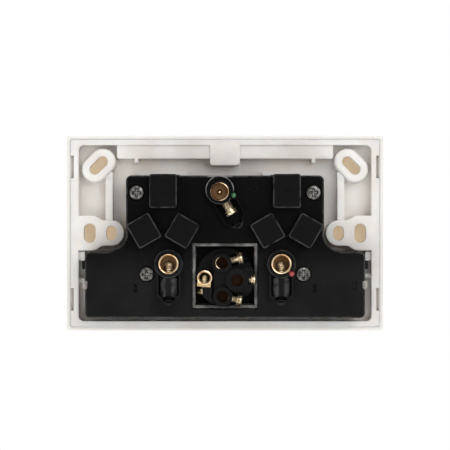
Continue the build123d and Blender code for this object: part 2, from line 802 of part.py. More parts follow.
def housing_cuts():
    """Window, contact pockets, strip troughs, switch wells, terminal seats and screw holes."""
    cuts = slab(Pos(0, window_z) * Rectangle(WINDOW, WINDOW), floor_rear, HOUSING_REAR)
    pocket = (CONTACT_W + 2 * POCKET_GAP, CONTACT_MOUTH + SHEET_T + 2 * POCKET_GAP)
    for pin in all_pins:
        cuts += slab(pin_sketch(pin, *pocket), floor_rear, contact_rear + SHEET_T / 2)
    for route in routes.values():
        cuts += trough(route)
    cuts += trough(branch_route)
    for x in (-ROCKER_X, ROCKER_X):
        cuts += switch_well(x)
    for point, lean in terminals.values():
        cuts += slab(Pos(*point) * Circle(BARREL_R + BARREL_GAP), BARREL_FRONT, COLLAR_REAR)
        cuts += screw_way(point, lean)
    for x, z in screw_spots:
        spot = Pos(x, z)
        cuts += slab(spot * Circle(POST_R + POST_GAP), floor_rear, POST_REAR + POST_GAP)
        cuts += slab(spot * Circle(FIXING_R + CLAMP_ROOM), floor_rear, HOUSING_REAR)
        cuts += slab(spot * Circle(FIXING_HEAD_R + CLAMP_ROOM), HOUSING_REAR - FIXING_SEAT, HOUSING_REAR)
    notch_z = (tongue_z - TONGUE_W / 2 - TONGUE_GAP, tongue_z + TONGUE_W / 2 + TONGUE_GAP)
    deep = wide_w / 2 - TONGUE_NOSE - TONGUE_GAP
    cuts += both_sides(block(deep, wide_w / 2, TONGUE_REACH - GUIDE_GAP, HOUSING_REAR, *notch_z))
    pocket_spot = Pos(POCKET_X, top_z - POCKET_DROP)
    small_pocket = pocket_spot * SlotOverall(POCKET_L, POCKET_W, rotation=90)
    cuts += both_sides(slab(small_pocket, HOUSING_REAR - POCKET_D, HOUSING_REAR))
    (x, z), _ = pins["right"]["earth"]
    cuts += slab(Pos(x, z) * Circle(DIMPLE_R), boss_rear - DIMPLE_D, boss_rear)
    groove = (tongue_z - GROOVE_L / 2, tongue_z + GROOVE_L / 2)
    x0, x1 = GROOVE_X - GROOVE_W / 2, GROOVE_X + GROOVE_W / 2
    return cuts + block(x0, x1, HOUSING_REAR - GROOVE_D, HOUSING_REAR, *groove)


# Contacts and strips


def contact(pin):
    """A folded clip that grips one pin: flared mouth, narrow neck and a closed rear end."""
    (x, z), slant = pin
    ux, uz = along(slant)
    neck_y = contact_front + CONTACT_NECK
    half = [
        (CONTACT_MOUTH / 2, contact_front),
        ((CONTACT_GRIP + SHEET_T) / 2, neck_y),
        (CONTACT_BELLY / 2, neck_y + CONTACT_FLARE),
        (CONTACT_BELLY / 2, contact_rear),
    ]
    other = [(-t, y) for t, y in reversed(half)]
    profile = trace(FilletPolyline(*half, *other, radius=CLIP_BEND_R), line_width=SHEET_T)
    sx, sz = moved((x, z), slant, -CONTACT_W / 2)
    plane = Plane(origin=(sx, 0, sz), x_dir=(uz, 0, -ux), z_dir=(ux, 0, uz))
    return extrude(plane * profile, amount=CONTACT_W)


def leaf(pin, turn):
    """Middle of one side of a clip, on the side a quarter turn from its pin."""
    point, slant = pin
    return moved(point, slant + turn, CONTACT_BELLY / 2)


def meets_x(point, angle, x):
    """Where a line in X and Z comes to a given x."""
    return x, point[1] + (x - point[0]) * tan(radians(angle))


def meets_z(point, angle, z):
    """Where a line in X and Z comes to a given z."""
    return point[0] + (z - point[1]) / tan(radians(angle)), z


def neutral_route():
    """From the neutral terminal, along one clip's side, under the sockets and along the other."""
    rise = 180 - PIN_SLANT
    near = leaf(pins["left"]["neutral"], 90)
    far = leaf(pins["right"]["neutral"], 90)
    strip_x = -TERMINAL_X
    return [
        (strip_x, terminal_z + BORE_R),
        meets_x(near, rise, strip_x),
        meets_z(near, rise, BUS_Z),
        meets_z(far, rise, BUS_Z),
        moved(far, rise, CONTACT_W / 2),
    ]


def left_route():
    """From the left lever's rest to the left active clip."""
    end = leaf(pins["left"]["active"], 90)
    start = meets_x(end, PIN_SLANT + 90, -DROP_X)
    return [(-ROCKER_X - LEVER_W + STRIP_T, rocker_z), (-DROP_X, rocker_z), start, end]


def right_route():
    """From the right lever's rest to the right active clip and along its side."""
    side = leaf(pins["right"]["active"], -90)
    return [
        (ROCKER_X + LEVER_W - STRIP_T, rocker_z),
        (DROP_X, rocker_z),
        (DROP_X, FEED_Z),
        meets_z(side, PIN_SLANT, FEED_Z),
        moved(side, PIN_SLANT, -CONTACT_W / 2),
    ]


earth_side = SOCKET_PITCH / 2 - CONTACT_BELLY / 2
bus_end = ROCKER_X + LEVER_W / 2 + STRIP_T
routes = {
    "earth_bar": [(-earth_side, EARTH_Z), (earth_side, EARTH_Z)],
    "neutral_bar": neutral_route(),
    "left_switched_contact": left_route(),
    "right_switched_contact": right_route(),
    "active_bar": [(-bus_end, top_bus_z), (bus_end, top_bus_z)],
}
branch_route = [(TERMINAL_X, top_bus_z), (TERMINAL_X, terminal_z - BORE_R)]


def horns(x, y, z):
    """Two upright horns that keep a lever in the middle of its rest."""
    near = LEVER_W / 2 + HORN_GAP
    solid = block(near, near + HORN_W, y - HORN_H, y + HORN_H, -STRIP_T / 2, STRIP_T / 2)
    return Pos(x, 0, z) * both_sides(solid)


def fixed_button(x, z):
    """A fixed contact button that faces the lever."""
    return slab(Pos(x, z) * Circle(BUTTON_R), fixed_front - BUTTON_T, fixed_front)


def active_bar():
    """Supply strip with a branch to the active terminal and a tab at each end."""
    bar = on_edge(routes["active_bar"]) + on_edge(branch_route)
    half = LEVER_W / 2 + POCKET_GAP
    low_z = rocker_z + BUTTON_Z - BUTTON_R - POCKET_GAP
    for x in (-ROCKER_X, ROCKER_X):
        bar += block(x - half, x + half, fixed_front, fixed_rear, low_z, top_bus_z)
        bar += fixed_button(x, rocker_z + BUTTON_Z)
    return bar


# Wire terminals and screws


def barrel(point, lean, size):
    """A blind wire barrel with a widened mouth and a tapped hole in its side."""
    outer, bore, mouth, mouth_l, front, rear, end, tap_y, tap_r = size
    spot = Pos(*point)
    solid = slab(spot * Circle(outer), front, rear)
    solid = chamfer(solid.faces().sort_by(Axis.Y)[-1].edges(), BARREL_EDGE)
    solid -= slab(spot * Circle(bore), front + end, rear)
    solid -= slab(spot * Circle(mouth), rear - mouth_l, rear)
    return solid - rod(tap_r + THREAD_FIT, point, tap_y, lean, 0, outer)


def main_barrel(point, lean):
    """Barrel of the earth, neutral or active terminal."""
    size = (BARREL_R, BORE_R, LEAD_R, LEAD_L, BARREL_FRONT, BARREL_REAR, BARREL_END, CLAMP_Y, CLAMP_R)
    return barrel(point, lean, size)


def screw_form(shank_r, length, head_r, head_t, slot_w, slot_d):
    """A cross-slot screw on +Z: tip at the origin, head above its length."""
    shank = extrude(Circle(shank_r), amount=length)
    shank = chamfer(shank.faces().sort_by(Axis.Z)[0].edges(), shank_r * POINT_SHARE)
    head = Pos(0, 0, length) * extrude(Circle(head_r), amount=head_t)
    head = fillet(head.faces().sort_by(Axis.Z)[-1].edges(), head_t * HEAD_ROUND_SHARE)
    cross_l = 2 * head_r * CROSS_SHARE
    cross = Box(slot_w, cross_l, slot_d) + Box(cross_l, slot_w, slot_d)
    return shank + head - Pos(0, 0, length + head_t - slot_d / 2) * cross


def clamp_screw(form, point, y, lean, tip):
    """A screw laid across a terminal, its tip at a distance from the bore's axis."""
    ux, uz = along(lean)
    x, z = moved(point, lean, tip)
    plane = Plane(origin=(x, y, z), x_dir=(0, 1, 0), z_dir=(ux, 0, uz))
    return plane.location * form


def housing_screws():
    """Four screws that draw the housing onto the carrier's posts."""
    tip = floor_rear + FIXING_TIP
    length = HOUSING_REAR - FIXING_SEAT - tip
    form = screw_form(FIXING_R, length, FIXING_HEAD_R, FIXING_HEAD_T, RECESS_W, RECESS_D)
    placed = [
        Plane(origin=(x, tip, z), x_dir=(1, 0, 0), z_dir=(0, 1, 0)).location * form for x, z in screw_spots
    ]
    return Compound(children=placed)


# Rocker switches


def tilted(solid, x, y, angle):
    """A switch piece turned about an axis along X at a depth."""
    axis = Pos(x, y, rocker_z)
    return axis * Rot(angle, 0, 0) * axis.inverse() * solid


def rocker(x):
    """A convex cap with a skirt, two axle cheeks and a guide tube, tilted to its off position."""
    half = ROCKER_H / 2
    rear = rocker_end + ROCKER_SKIRT
    crown = ThreePointArc((rocker_end, -half), (rocker_end - ROCKER_CROWN, 0), (rocker_end, half))
    sides = Polyline((rocker_end, half), (rear, half), (rear, -half), (rocker_end, -half))
    cap = extrude(Plane.YZ * make_face(crown.edges() + sides.edges()), amount=ROCKER_W / 2, both=True)
    cap = fillet(cap.faces().sort_by(Axis.Y)[0].edges(), ROCKER_EDGE_R)
    inner = rocker_end + ROCKER_WALL
    side = ROCKER_W / 2
    cap -= block(ROCKER_WALL - side, side - ROCKER_WALL, inner, rear, ROCKER_WALL - half, half - ROCKER_WALL)
    cheek = block(side - CHEEK_T, side, inner, pivot_y + AXLE_R, -CHEEK_H / 2, CHEEK_H / 2)
    cheek += rod(AXLE_R, (0, 0), pivot_y, 0, side - CHEEK_T, side + AXLE_L)
    cap += both_sides(cheek)
    cap += slab(Circle(TUBE_R), inner, TUBE_REAR)
    cap -= slab(Circle(PLUNGER_R + GUIDE_GAP), inner, TUBE_REAR)
    return tilted(Pos(x, 0, rocker_z) * cap, x, pivot_y, -rocker_tilt)


def plunger(x):
    """A round-nosed pin that slides in the rocker's tube and bears on the lever."""
    body = slab(Circle(PLUNGER_R), plunger_tip - PLUNGER_L, plunger_tip - PLUNGER_R)
    nose = Pos(0, plunger_tip - PLUNGER_R, 0) * Sphere(PLUNGER_R)
    return tilted(Pos(x, 0, rocker_z) * (body + nose), x, pivot_y, -rocker_tilt)


def spring(x):
    """Room of the coil spring behind the plunger, as a plain sleeve."""
    ring = Circle(SPRING_R) - Circle(SPRING_R - SPRING_WIRE)
    sleeve = slab(ring, rocker_end + ROCKER_WALL, plunger_tip - PLUNGER_L)
    return tilted(Pos(x, 0, rocker_z) * sleeve, x, pivot_y, -rocker_tilt)


def lever(x, button_ends):
    """A tilting plate with a contact button behind one or both ends."""
    plate = slab(RectangleRounded(LEVER_W, LEVER_L, LEVER_T), LEVER_Y - LEVER_T, LEVER_Y)
    for end in button_ends:
        plate += slab(Pos(0, end * BUTTON_Z) * Circle(BUTTON_R), LEVER_Y, LEVER_Y + BUTTON_T)
    return tilted(Pos(x, 0, rocker_z) * plate, x, LEVER_Y, lever_tilt)


# Extra switch


def from_centre(offset):
    """A place given from the extra switch's centre."""
    return offset[0], offset[1] + rocker_z


def small_barrel(offset, lean, rear):
    """Barrel of one of the extra switch's terminals."""
    size = (SMALL_BARREL_R, SMALL_BORE_R, SMALL_LEAD_R, SMALL_LEAD_L)
    size += (fixed_rear, rear, SMALL_END, SMALL_CLAMP_Y, SMALL_CLAMP_R)
    return barrel(from_centre(offset), lean, size)


def loop_foot(gap):
    """Square foot of the loop terminal, around its screw hole."""
    half = LOOP_FOOT_W / 2 + gap
    foot = block(0, LOOP_FOOT_L + gap, fixed_rear, LOOP_REAR - BARREL_EDGE, -half, half)
    x, z = from_centre(LOOP_AT)
    return Pos(x, 0, z) * Rot(0, -LOOP_LEAN, 0) * foot


def loop_terminal():
    """Bare barrel with a square foot, the screw hole and the bore cut through both."""
    point = from_centre(LOOP_AT)
    foot = loop_foot(0) - slab(Pos(*point) * Circle(SMALL_BARREL_R), fixed_rear, LOOP_REAR)
    foot -= rod(SMALL_CLAMP_R + THREAD_FIT, point, SMALL_CLAMP_Y, LOOP_LEAN, 0, LOOP_FOOT_L)
    return foot + small_barrel(LOOP_AT, LOOP_LEAN, LOOP_REAR)


extra_terminals = {
    "common": (COMMON_AT, COMMON_LEAN, COMMON_REAR, COMMON_TURRET_R, COMMON_SCREW_L),
    "lower_way": (LOWER_AT, LOWER_LEAN, WAY_REAR, WAY_TURRET_R, LOWER_SCREW_L),
    "upper_way": (UPPER_AT, UPPER_LEAN, WAY_REAR, WAY_TURRET_R, UPPER_SCREW_L),
    "loop": (LOOP_AT, LOOP_LEAN, LOOP_REAR, SMALL_BARREL_R, LOOP_SCREW_L),
}


def extra_switch_body():
    """Round switch body with terminal turrets, a lever chamber and snap ridges."""
    centre = Pos(0, rocker_z)
    body = slab(centre * Circle(MECH_R), floor_rear, MECH_REAR)
    body += slab(Pos(0, window_z) * Rectangle(foot_w, foot_w), floor_rear, FOOT_REAR)
    snap_front = SNAP_Y - SNAP_H / 2
    snap_ends = (-SNAP_L / 2, SNAP_L / 2)
    ridge = block(MECH_R - SNAP_PROUD, MECH_R + SNAP_PROUD, snap_front, snap_front + SNAP_H, *snap_ends)
    body += Pos(0, 0, rocker_z) * both_sides(ridge)
    for name in ("common", "lower_way", "upper_way"):
        offset_at, _, rear, turret_r, _ = extra_terminals[name]
        body += slab(Pos(*from_centre(offset_at)) * Circle(turret_r), MECH_REAR, rear + TURRET_LIP)
    x, z = COMMON_AT
    snout = [(x, z - SNOUT_ROOT_W / 2), (SNOUT_X, z - SNOUT_TIP_W / 2)]
    snout += [(SNOUT_X, z + SNOUT_TIP_W / 2), (x, z + SNOUT_ROOT_W / 2)]
    fan = make_face(Polyline(*snout, close=True)) & Circle(MECH_R)
    body += slab(centre * fan, MECH_REAR, SNOUT_REAR)
    body += slab(centre * make_face(Polyline(*FIN, close=True)), MECH_REAR, FIN_REAR)
    low, high = from_centre(LOWER_AT)[1], from_centre(UPPER_AT)[1]
    body += block(BRIDGE_LEFT, BRIDGE_RIGHT, MECH_REAR, BRIDGE_REAR, low, high)
    return body - extra_switch_cuts()


def extra_switch_cuts():
    """Rocker room, axle seats, lever chamber, tab pockets, barrel seats and screw ways."""
    centre = Pos(0, 0, rocker_z)
    half = ROCKER_W / 2 + LUG_GAP
    high = well_h / 2
    cuts = block(-half, half, floor_rear, TUBE_REAR, -high, high)
    cuts += block(-MECH_WELL_W / 2, MECH_WELL_W / 2, floor_rear, lever_room, -high, high)
    seat_r = AXLE_R + AXLE_GAP
    reach = ROCKER_W / 2 + AXLE_L + LUG_GAP
    cuts += rod(seat_r, (0, 0), pivot_y, 0, -reach, reach)
    cuts += block(-reach, reach, floor_rear, pivot_y, -seat_r, seat_r)
    for end in (-1, 1):
        near = BUTTON_Z - BUTTON_R - 2 * POCKET_GAP
        ends = sorted((end * near, end * high))
        cuts += block(-MECH_WELL_W / 2, MECH_WELL_W / 2, floor_rear, fixed_rear, *ends)
    rest = rest_ends()
    cuts += block(
        rest[0] - POCKET_GAP, rest[1] + POCKET_GAP, strip_front, fixed_rear,
        -STRIP_T / 2 - POCKET_GAP, STRIP_T / 2 + POCKET_GAP,
    )
    cuts = centre * cuts
    cuts += loop_foot(BARREL_GAP)
    for offset_at, lean, rear, turret_r, _ in extra_terminals.values():
        point = from_centre(offset_at)
        cuts += slab(Pos(*point) * Circle(SMALL_BARREL_R + BARREL_GAP), fixed_rear, rear + BARREL_GAP)
        cuts += slab(Pos(*point) * Circle(SMALL_LEAD_R), rear, rear + TURRET_LIP)
        cuts += rod(SMALL_CLAMP_R + CLAMP_ROOM, point, SMALL_CLAMP_Y, lean, 0, turret_r + CLAMP_ROOM)
        head_room = SMALL_HEAD_R + CLAMP_ROOM
        cuts += rod(head_room, point, SMALL_CLAMP_Y, lean, turret_r, 2 * MECH_R)
    return cuts


def rest_ends():
    """Ends of the common terminal's lever rest, from the switch's centre."""
    return -LEVER_W / 2 - HORN_GAP - HORN_W, COMMON_AT[0] + BORE_R


def common_terminal():
    """Lever rest with horns, joined to the common barrel."""
    x0, x1 = rest_ends()
    rest = block(x0, x1, strip_front, fixed_rear, rocker_z - STRIP_T / 2, rocker_z + STRIP_T / 2)
    return rest + horns(0, strip_front, rocker_z) + small_barrel(COMMON_AT, COMMON_LEAN, COMMON_REAR)


def way_terminal(offset_at, lean, end):
    """Tab with a fixed button, joined to the barrel of one way."""
    half_x = LEVER_W / 2 + POCKET_GAP
    z = rocker_z + end * BUTTON_Z
    half_z = BUTTON_R + POCKET_GAP
    tab = block(-half_x, half_x, fixed_front, fixed_rear, z - half_z, z + half_z)
    return tab + fixed_button(0, z) + small_barrel(offset_at, lean, WAY_REAR)


def mark(terminal):
    """A small dome of paint."""
    x, z = mark_spot(terminal)
    round_r = (MARK_R**2 + MARK_H**2) / (2 * MARK_H)
    ball = Pos(x, CHANNEL_REAR + MARK_H - round_r, z) * Sphere(round_r)
    return ball & slab(Pos(x, z) * Circle(2 * MARK_R), CHANNEL_REAR, CHANNEL_REAR + 2 * MARK_H)


# All pieces

parts = {"cover_plate": cover_plate(), "rear_housing": rear_housing(), "housing_screws": housing_screws()}
grid = grid_plate()
for x in (-ROCKER_X, ROCKER_X):
    grid += axle_lugs(x)
parts["grid_plate"] = grid

for name in ("earth_bar", "neutral_bar"):
    parts[name] = on_edge(routes[name])
    for one in pins.values():
        parts[name] += contact(one[name.split("_")[0]])
for side, x in (("left", -ROCKER_X), ("right", ROCKER_X)):
    name = f"{side}_switched_contact"
    parts[name] = on_edge(routes[name]) + contact(pins[side]["active"]) + horns(x, strip_front, rocker_z)
parts["active_bar"] = active_bar()

clamp_form = screw_form(CLAMP_R, CLAMP_L, CLAMP_HEAD_R, CLAMP_HEAD_T, RECESS_W, RECESS_D)
for name, (point, lean) in terminals.items():
    tip = BORE_R + CLAMP_OPEN if name == "earth" else BORE_R - CLAMP_IN
    parts[f"{name}_terminal"] = main_barrel(point, lean)
    parts[f"{name}_screw"] = clamp_screw(clamp_form, point, CLAMP_Y, lean, tip)

for side, x in switch_spots.items():
    parts[f"{side}_rocker"] = rocker(x)
    parts[f"{side}_plunger"] = plunger(x)
    parts[f"{side}_spring"] = spring(x)
    parts[f"{side}_lever"] = lever(x, (-1, 1) if side == "extra" else (1,))

parts["extra_switch_body"] = extra_switch_body()
parts["common_terminal"] = common_terminal()
parts["lower_way_terminal"] = way_terminal(LOWER_AT, LOWER_LEAN, -1)
parts["upper_way_terminal"] = way_terminal(UPPER_AT, UPPER_LEAN, 1)
parts["loop_terminal"] = loop_terminal()
for name, (offset_at, lean, _, _, length) in extra_terminals.items():
    form = screw_form(SMALL_CLAMP_R, length, SMALL_HEAD_R, SMALL_HEAD_T, SMALL_RECESS_W, SMALL_RECESS_D)
    tip = SMALL_BORE_R - SMALL_IN if name == "loop" else SMALL_BORE_R + SMALL_OPEN
    parts[f"{name}_screw"] = clamp_screw(form, from_centre(offset_at), SMALL_CLAMP_Y, lean, tip)

parts["earth_mark"] = mark(terminals["earth"])
parts["active_mark"] = mark(terminals["active"])

os.makedirs("parts", exist_ok=True)
for name, solid in parts.items():
    export_step(solid, f"parts/{name}.step")
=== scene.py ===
import json
import logging
import math
from dataclasses import dataclass, replace
from enum import Enum

import bpy
import numpy as np
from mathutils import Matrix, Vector


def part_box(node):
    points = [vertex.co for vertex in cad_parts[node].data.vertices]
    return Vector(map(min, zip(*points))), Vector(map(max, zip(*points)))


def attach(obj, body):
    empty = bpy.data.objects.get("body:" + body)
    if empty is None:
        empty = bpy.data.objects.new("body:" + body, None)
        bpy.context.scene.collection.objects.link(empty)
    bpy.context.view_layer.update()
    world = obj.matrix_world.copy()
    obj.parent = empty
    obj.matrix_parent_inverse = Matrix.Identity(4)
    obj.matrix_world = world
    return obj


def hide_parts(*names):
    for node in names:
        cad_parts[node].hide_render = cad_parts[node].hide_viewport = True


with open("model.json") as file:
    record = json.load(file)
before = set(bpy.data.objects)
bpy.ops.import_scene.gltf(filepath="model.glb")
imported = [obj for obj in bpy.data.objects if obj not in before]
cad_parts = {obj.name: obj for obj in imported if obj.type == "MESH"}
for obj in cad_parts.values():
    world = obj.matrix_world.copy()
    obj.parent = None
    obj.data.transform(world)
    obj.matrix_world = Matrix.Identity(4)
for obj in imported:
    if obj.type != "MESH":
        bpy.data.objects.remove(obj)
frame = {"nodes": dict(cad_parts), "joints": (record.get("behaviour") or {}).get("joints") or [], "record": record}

Pair = tuple[float, float]
Triple = tuple[float, float, float]
Colour = tuple[float, float, float, float]
Tree = bpy.types.NodeTree
Node = bpy.types.Node
Socket = bpy.types.NodeSocket
Material = bpy.types.Material
Piece = bpy.types.Object

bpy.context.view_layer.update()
MM = 0.001
LOG = logging.getLogger("wall_socket")


class Tone(Enum):
    """Colours of the socket's finishes, as sRGB levels from 0 to 255."""

    PLATE_WHITE = (240, 237, 233)
    PLATE_SHADE = (226, 220, 214)
    COVER_WHITE = (239, 236, 230)
    COVER_SHADE = (234, 230, 223)
    # Grime and painted shade on the collar in the housing's window.
    COLLAR_GRIME = (92, 90, 87)
    # Painted warm glow and shade on rear-facing faces deep in the recesses.
    RECESS_TAN = (248, 206, 174)
    HOUSING_BLACK = (2, 2, 2)
    HOUSING_DEEP = (5, 5, 5)
    # Painted sheen on the housing, lighter towards +Z.
    HOUSING_HAZE = (26, 26, 26)
    HOUSING_TOP = (13, 13, 14)
    # Dust flecks, and a painted highlight on rounded rear edges.
    HOUSING_DUST = (76, 76, 76)
    # Paler painted highlight on the rear edges round the earth tower.
    RUBBED_GREY = (160, 159, 158)
    BRASS_BRIGHT = (238, 206, 158)
    BRASS_DULL = (196, 152, 96)
    # Painted shade deep in the wire bores and over one side of the earth lip.
    BRASS_DEEP = (56, 33, 15)
    BRASS_LIP = (250, 228, 194)
    BRASS_LIP_DULL = (150, 116, 76)
    BRASS_SHADE = (24, 14, 9)
    BRASS_DARK = (38, 24, 17)
    SCREW_BRASS = (246, 230, 196)
    SCREW_TARNISH = (112, 84, 48)
    STEEL_BRIGHT = (120, 118, 115)
    STEEL_DULL = (56, 54, 52)
    PLUNGER_CREAM = (214, 206, 190)
    EARTH_GREEN = (50, 108, 70)
    EARTH_GREEN_DARK = (26, 72, 44)
    ACTIVE_RED = (184, 72, 72)
    ACTIVE_RED_DARK = (138, 42, 44)
    STUDIO_WHITE = (255, 255, 255)

    def linear(self) -> Colour:
        """The colour as linear light, with full opacity."""
        levels = np.array(self.value) / 255.0
        low = levels / 12.92
        high = ((levels + 0.055) / 1.055) ** 2.4
        red, green, blue = np.where(levels <= 0.04045, low, high)
        return float(red), float(green), float(blue), 1.0


class ShaderBuilder:
    """Puts nodes into one node tree and links them."""

    def __init__(self, tree: Tree) -> None:
        """Starts on the node tree of a material, a world or a group."""
        self.tree = tree

    @classmethod
    def fresh(cls, owner: Material | bpy.types.World) -> "ShaderBuilder":
        """Starts on the emptied tree of a material or a world."""
        owner.use_nodes = True
        owner.node_tree.nodes.clear()
        return cls(owner.node_tree)

    def put(self, value: object, socket: Socket) -> None:
        """Links a value that is another node's socket, and sets one that is a number or a colour."""
        if isinstance(value, Socket):
            self.tree.links.new(value, socket)
        else:
            socket.default_value = value

    def add(self, kind: str | Tree, **values: object) -> Node:
        """Adds a node or a shared effect and sets its input sockets.

        Args:
            kind: the node's type name, or the effect's node group.
            **values: socket names, with underscores for spaces, and a number, a colour or another node's socket.

        Returns:
            The new node.
        """
        shared = isinstance(kind, Tree)
        node = self.tree.nodes.new("ShaderNodeGroup" if shared else kind)
        if shared:
            node.node_tree = kind
        for name, value in values.items():
            self.put(value, node.inputs[name.replace("_", " ")])
        return node

    def noise(self, spot: Socket, size: object, detail: float) -> Socket:
        """Adds a noise of a size, with a number of finer layers."""
        return self.add("ShaderNodeTexNoise", Vector=spot, Scale=size, Detail=detail).outputs["Fac"]

    def along(self, vector: Socket, axis: str) -> Socket:
        """One component of a vector."""
        return self.add("ShaderNodeSeparateXYZ", Vector=vector).outputs[axis]

    def math(self, operation: str, *values: object) -> Socket:
        """Adds a math node.

        Args:
            operation: the node's operation.
            *values: its inputs in order, as numbers or sockets.

        Returns:
            The result's socket.
        """
        node = self.tree.nodes.new("ShaderNodeMath")
        node.operation = operation
        for socket, value in zip(node.inputs, values):
            self.put(value, socket)
        return node.outputs[0]

    def ramp(self, value: Socket, low: float, high: float) -> Socket:
        """Smooth step of a value.

        Args:
            value: the socket to read.
            low: the value that gives 0.
            high: the value that gives 1.

        Returns:
            The stepped value's socket.
        """
        node = self.add("ShaderNodeMapRange", Value=value, From_Min=low, From_Max=high)
        node.interpolation_type = "SMOOTHSTEP"
        return node.outputs[0]

    def distance(self, across: Socket, upward: Socket) -> Socket:
        """The root of the sum of two squares."""
        square = self.math("MULTIPLY_ADD", across, across, self.math("MULTIPLY", upward, upward))
        return self.math("SQRT", square)

    def blend(self, factor: Socket, first: object, second: object, shaders: bool = False) -> Socket:
        """Mixes two colours or two shaders.

        Args:
            factor: 0 for the first, 1 for the second.
            first: a colour or a socket.
            second: a colour or a socket.
            shaders: whether they are shaders.

        Returns:
            The mixture's socket.
        """
        node = self.tree.nodes.new("ShaderNodeMixShader" if shaders else "ShaderNodeMix")
        if not shaders:
            node.data_type = "RGBA"
        in_use = (socket for socket in node.inputs if socket.enabled)
        for socket, value in zip(in_use, (factor, first, second)):
            self.put(value, socket)
        return next(socket for socket in node.outputs if socket.enabled)


class SurfaceEffects:
    """Node groups that several finishes share, with the ramps and noise sizes that shape their masks."""

    MOTTLE_RAMP = (0.3, 0.7)
    REARWARD_RAMP = (0.0, 0.35)
    LEAN_START = (0.08, 0.3)
    LEAN_END = (0.99, 0.9)
    EDGE_PATCH_SIZE = 420.0
    EDGE_PATCH_RAMP = (0.25, 0.65)
    CLOUD_SIZE = 60.0
    CLOUD_RAMP = (0.4, 0.65)
    FLECK_RAMP = (0.6, 0.72)

    def __init__(self) -> None:
        """Builds every group once."""
        self.skin = self._skin()
        self.depth = self._depth()
        self.edges = self._edges()
        self.specks = self._specks()

    @staticmethod
    def _group(name: str, vectors: str, values: str, results: str) -> tuple[ShaderBuilder, object, object]:
        """Makes an empty group with its sockets.

        Args:
            name: the group's name.
            vectors: names of the vectors that it takes, with commas between them.
            values: names of the numbers that it takes.
            results: names of the numbers that it gives.

        Returns:
            A builder on the group, the sockets that it takes and the sockets that it gives.
        """
        group = bpy.data.node_groups.new(name, "ShaderNodeTree")
        number = "NodeSocketFloat"
        for names, way, kind in (
            (vectors, "INPUT", "NodeSocketVector"), (values, "INPUT", number), (results, "OUTPUT", number)
        ):
            for socket in filter(None, names.split(",")):
                group.interface.new_socket(socket, in_out=way, socket_type=kind)
        taken = group.nodes.new("NodeGroupInput").outputs
        return ShaderBuilder(group), taken, group.nodes.new("NodeGroupOutput").inputs

    def _skin(self) -> Tree:
        """Moulded or machined skin: a slow mottle and a fine grain.

        Returns:
            The group.
        """
        build, taken, given = self._group("moulded_skin", "Place", "Mottle Size,Grain Size", "Mottle,Grain")
        slow = build.noise(taken["Place"], taken["Mottle Size"], 3.0)
        build.put(build.ramp(slow, *self.MOTTLE_RAMP), given["Mottle"])
        build.put(build.noise(taken["Place"], taken["Grain Size"], 2.0), given["Grain"])
        return build.tree

    def _depth(self) -> Tree:
        """Depth below the rear side: 0 at one level, 1 at another, on faces that look rearwards or all round.

        Returns:
            The group.
        """
        build, taken, given = self._group("depth_tint", "Place,Facing", "Shallow,Deep,Facing Share", "Depth")
        span = build.math("SUBTRACT", taken["Deep"], taken["Shallow"])
        below = build.math("SUBTRACT", build.along(taken["Place"], "Y"), taken["Shallow"])
        share = build.ramp(build.math("DIVIDE", below, span), 0.0, 1.0)
        turned = build.math("SUBTRACT", 1.0, build.ramp(build.along(taken["Facing"], "Y"), *self.REARWARD_RAMP))
        hidden = build.math("MULTIPLY", turned, taken["Facing Share"])
        build.put(build.math("MULTIPLY", share, build.math("SUBTRACT", 1.0, hidden)), given["Depth"])
        return build.tree

    def _edges(self) -> Tree:
        """Rounded rear edges, the mask of a painted highlight: faces that lean between the rear and the sides, in
        patches.

        Returns:
            The group.
        """
        build, taken, given = self._group("rounded_edges", "Facing,Place", "", "Edge")
        rear = build.along(taken["Facing"], "Y")
        lean = build.math("MULTIPLY", build.ramp(rear, *self.LEAN_START), build.ramp(rear, *self.LEAN_END))
        edge_patches = build.ramp(build.noise(taken["Place"], self.EDGE_PATCH_SIZE, 4.0), *self.EDGE_PATCH_RAMP)
        build.put(build.math("MULTIPLY", lean, edge_patches), given["Edge"])
        return build.tree

    def _specks(self) -> Tree:
        """Dust and small flecks, denser where a slow noise is high.

        Returns:
            The group.
        """
        build, taken, given = self._group("dust_specks", "Place", "Fleck Size", "Fleck")
        sharp = build.ramp(build.noise(taken["Place"], taken["Fleck Size"], 5.0), *self.FLECK_RAMP)
        cloud = build.ramp(build.noise(taken["Place"], self.CLOUD_SIZE, 2.0), *self.CLOUD_RAMP)
        build.put(build.math("MULTIPLY", sharp, cloud), given["Fleck"])
        return build.tree


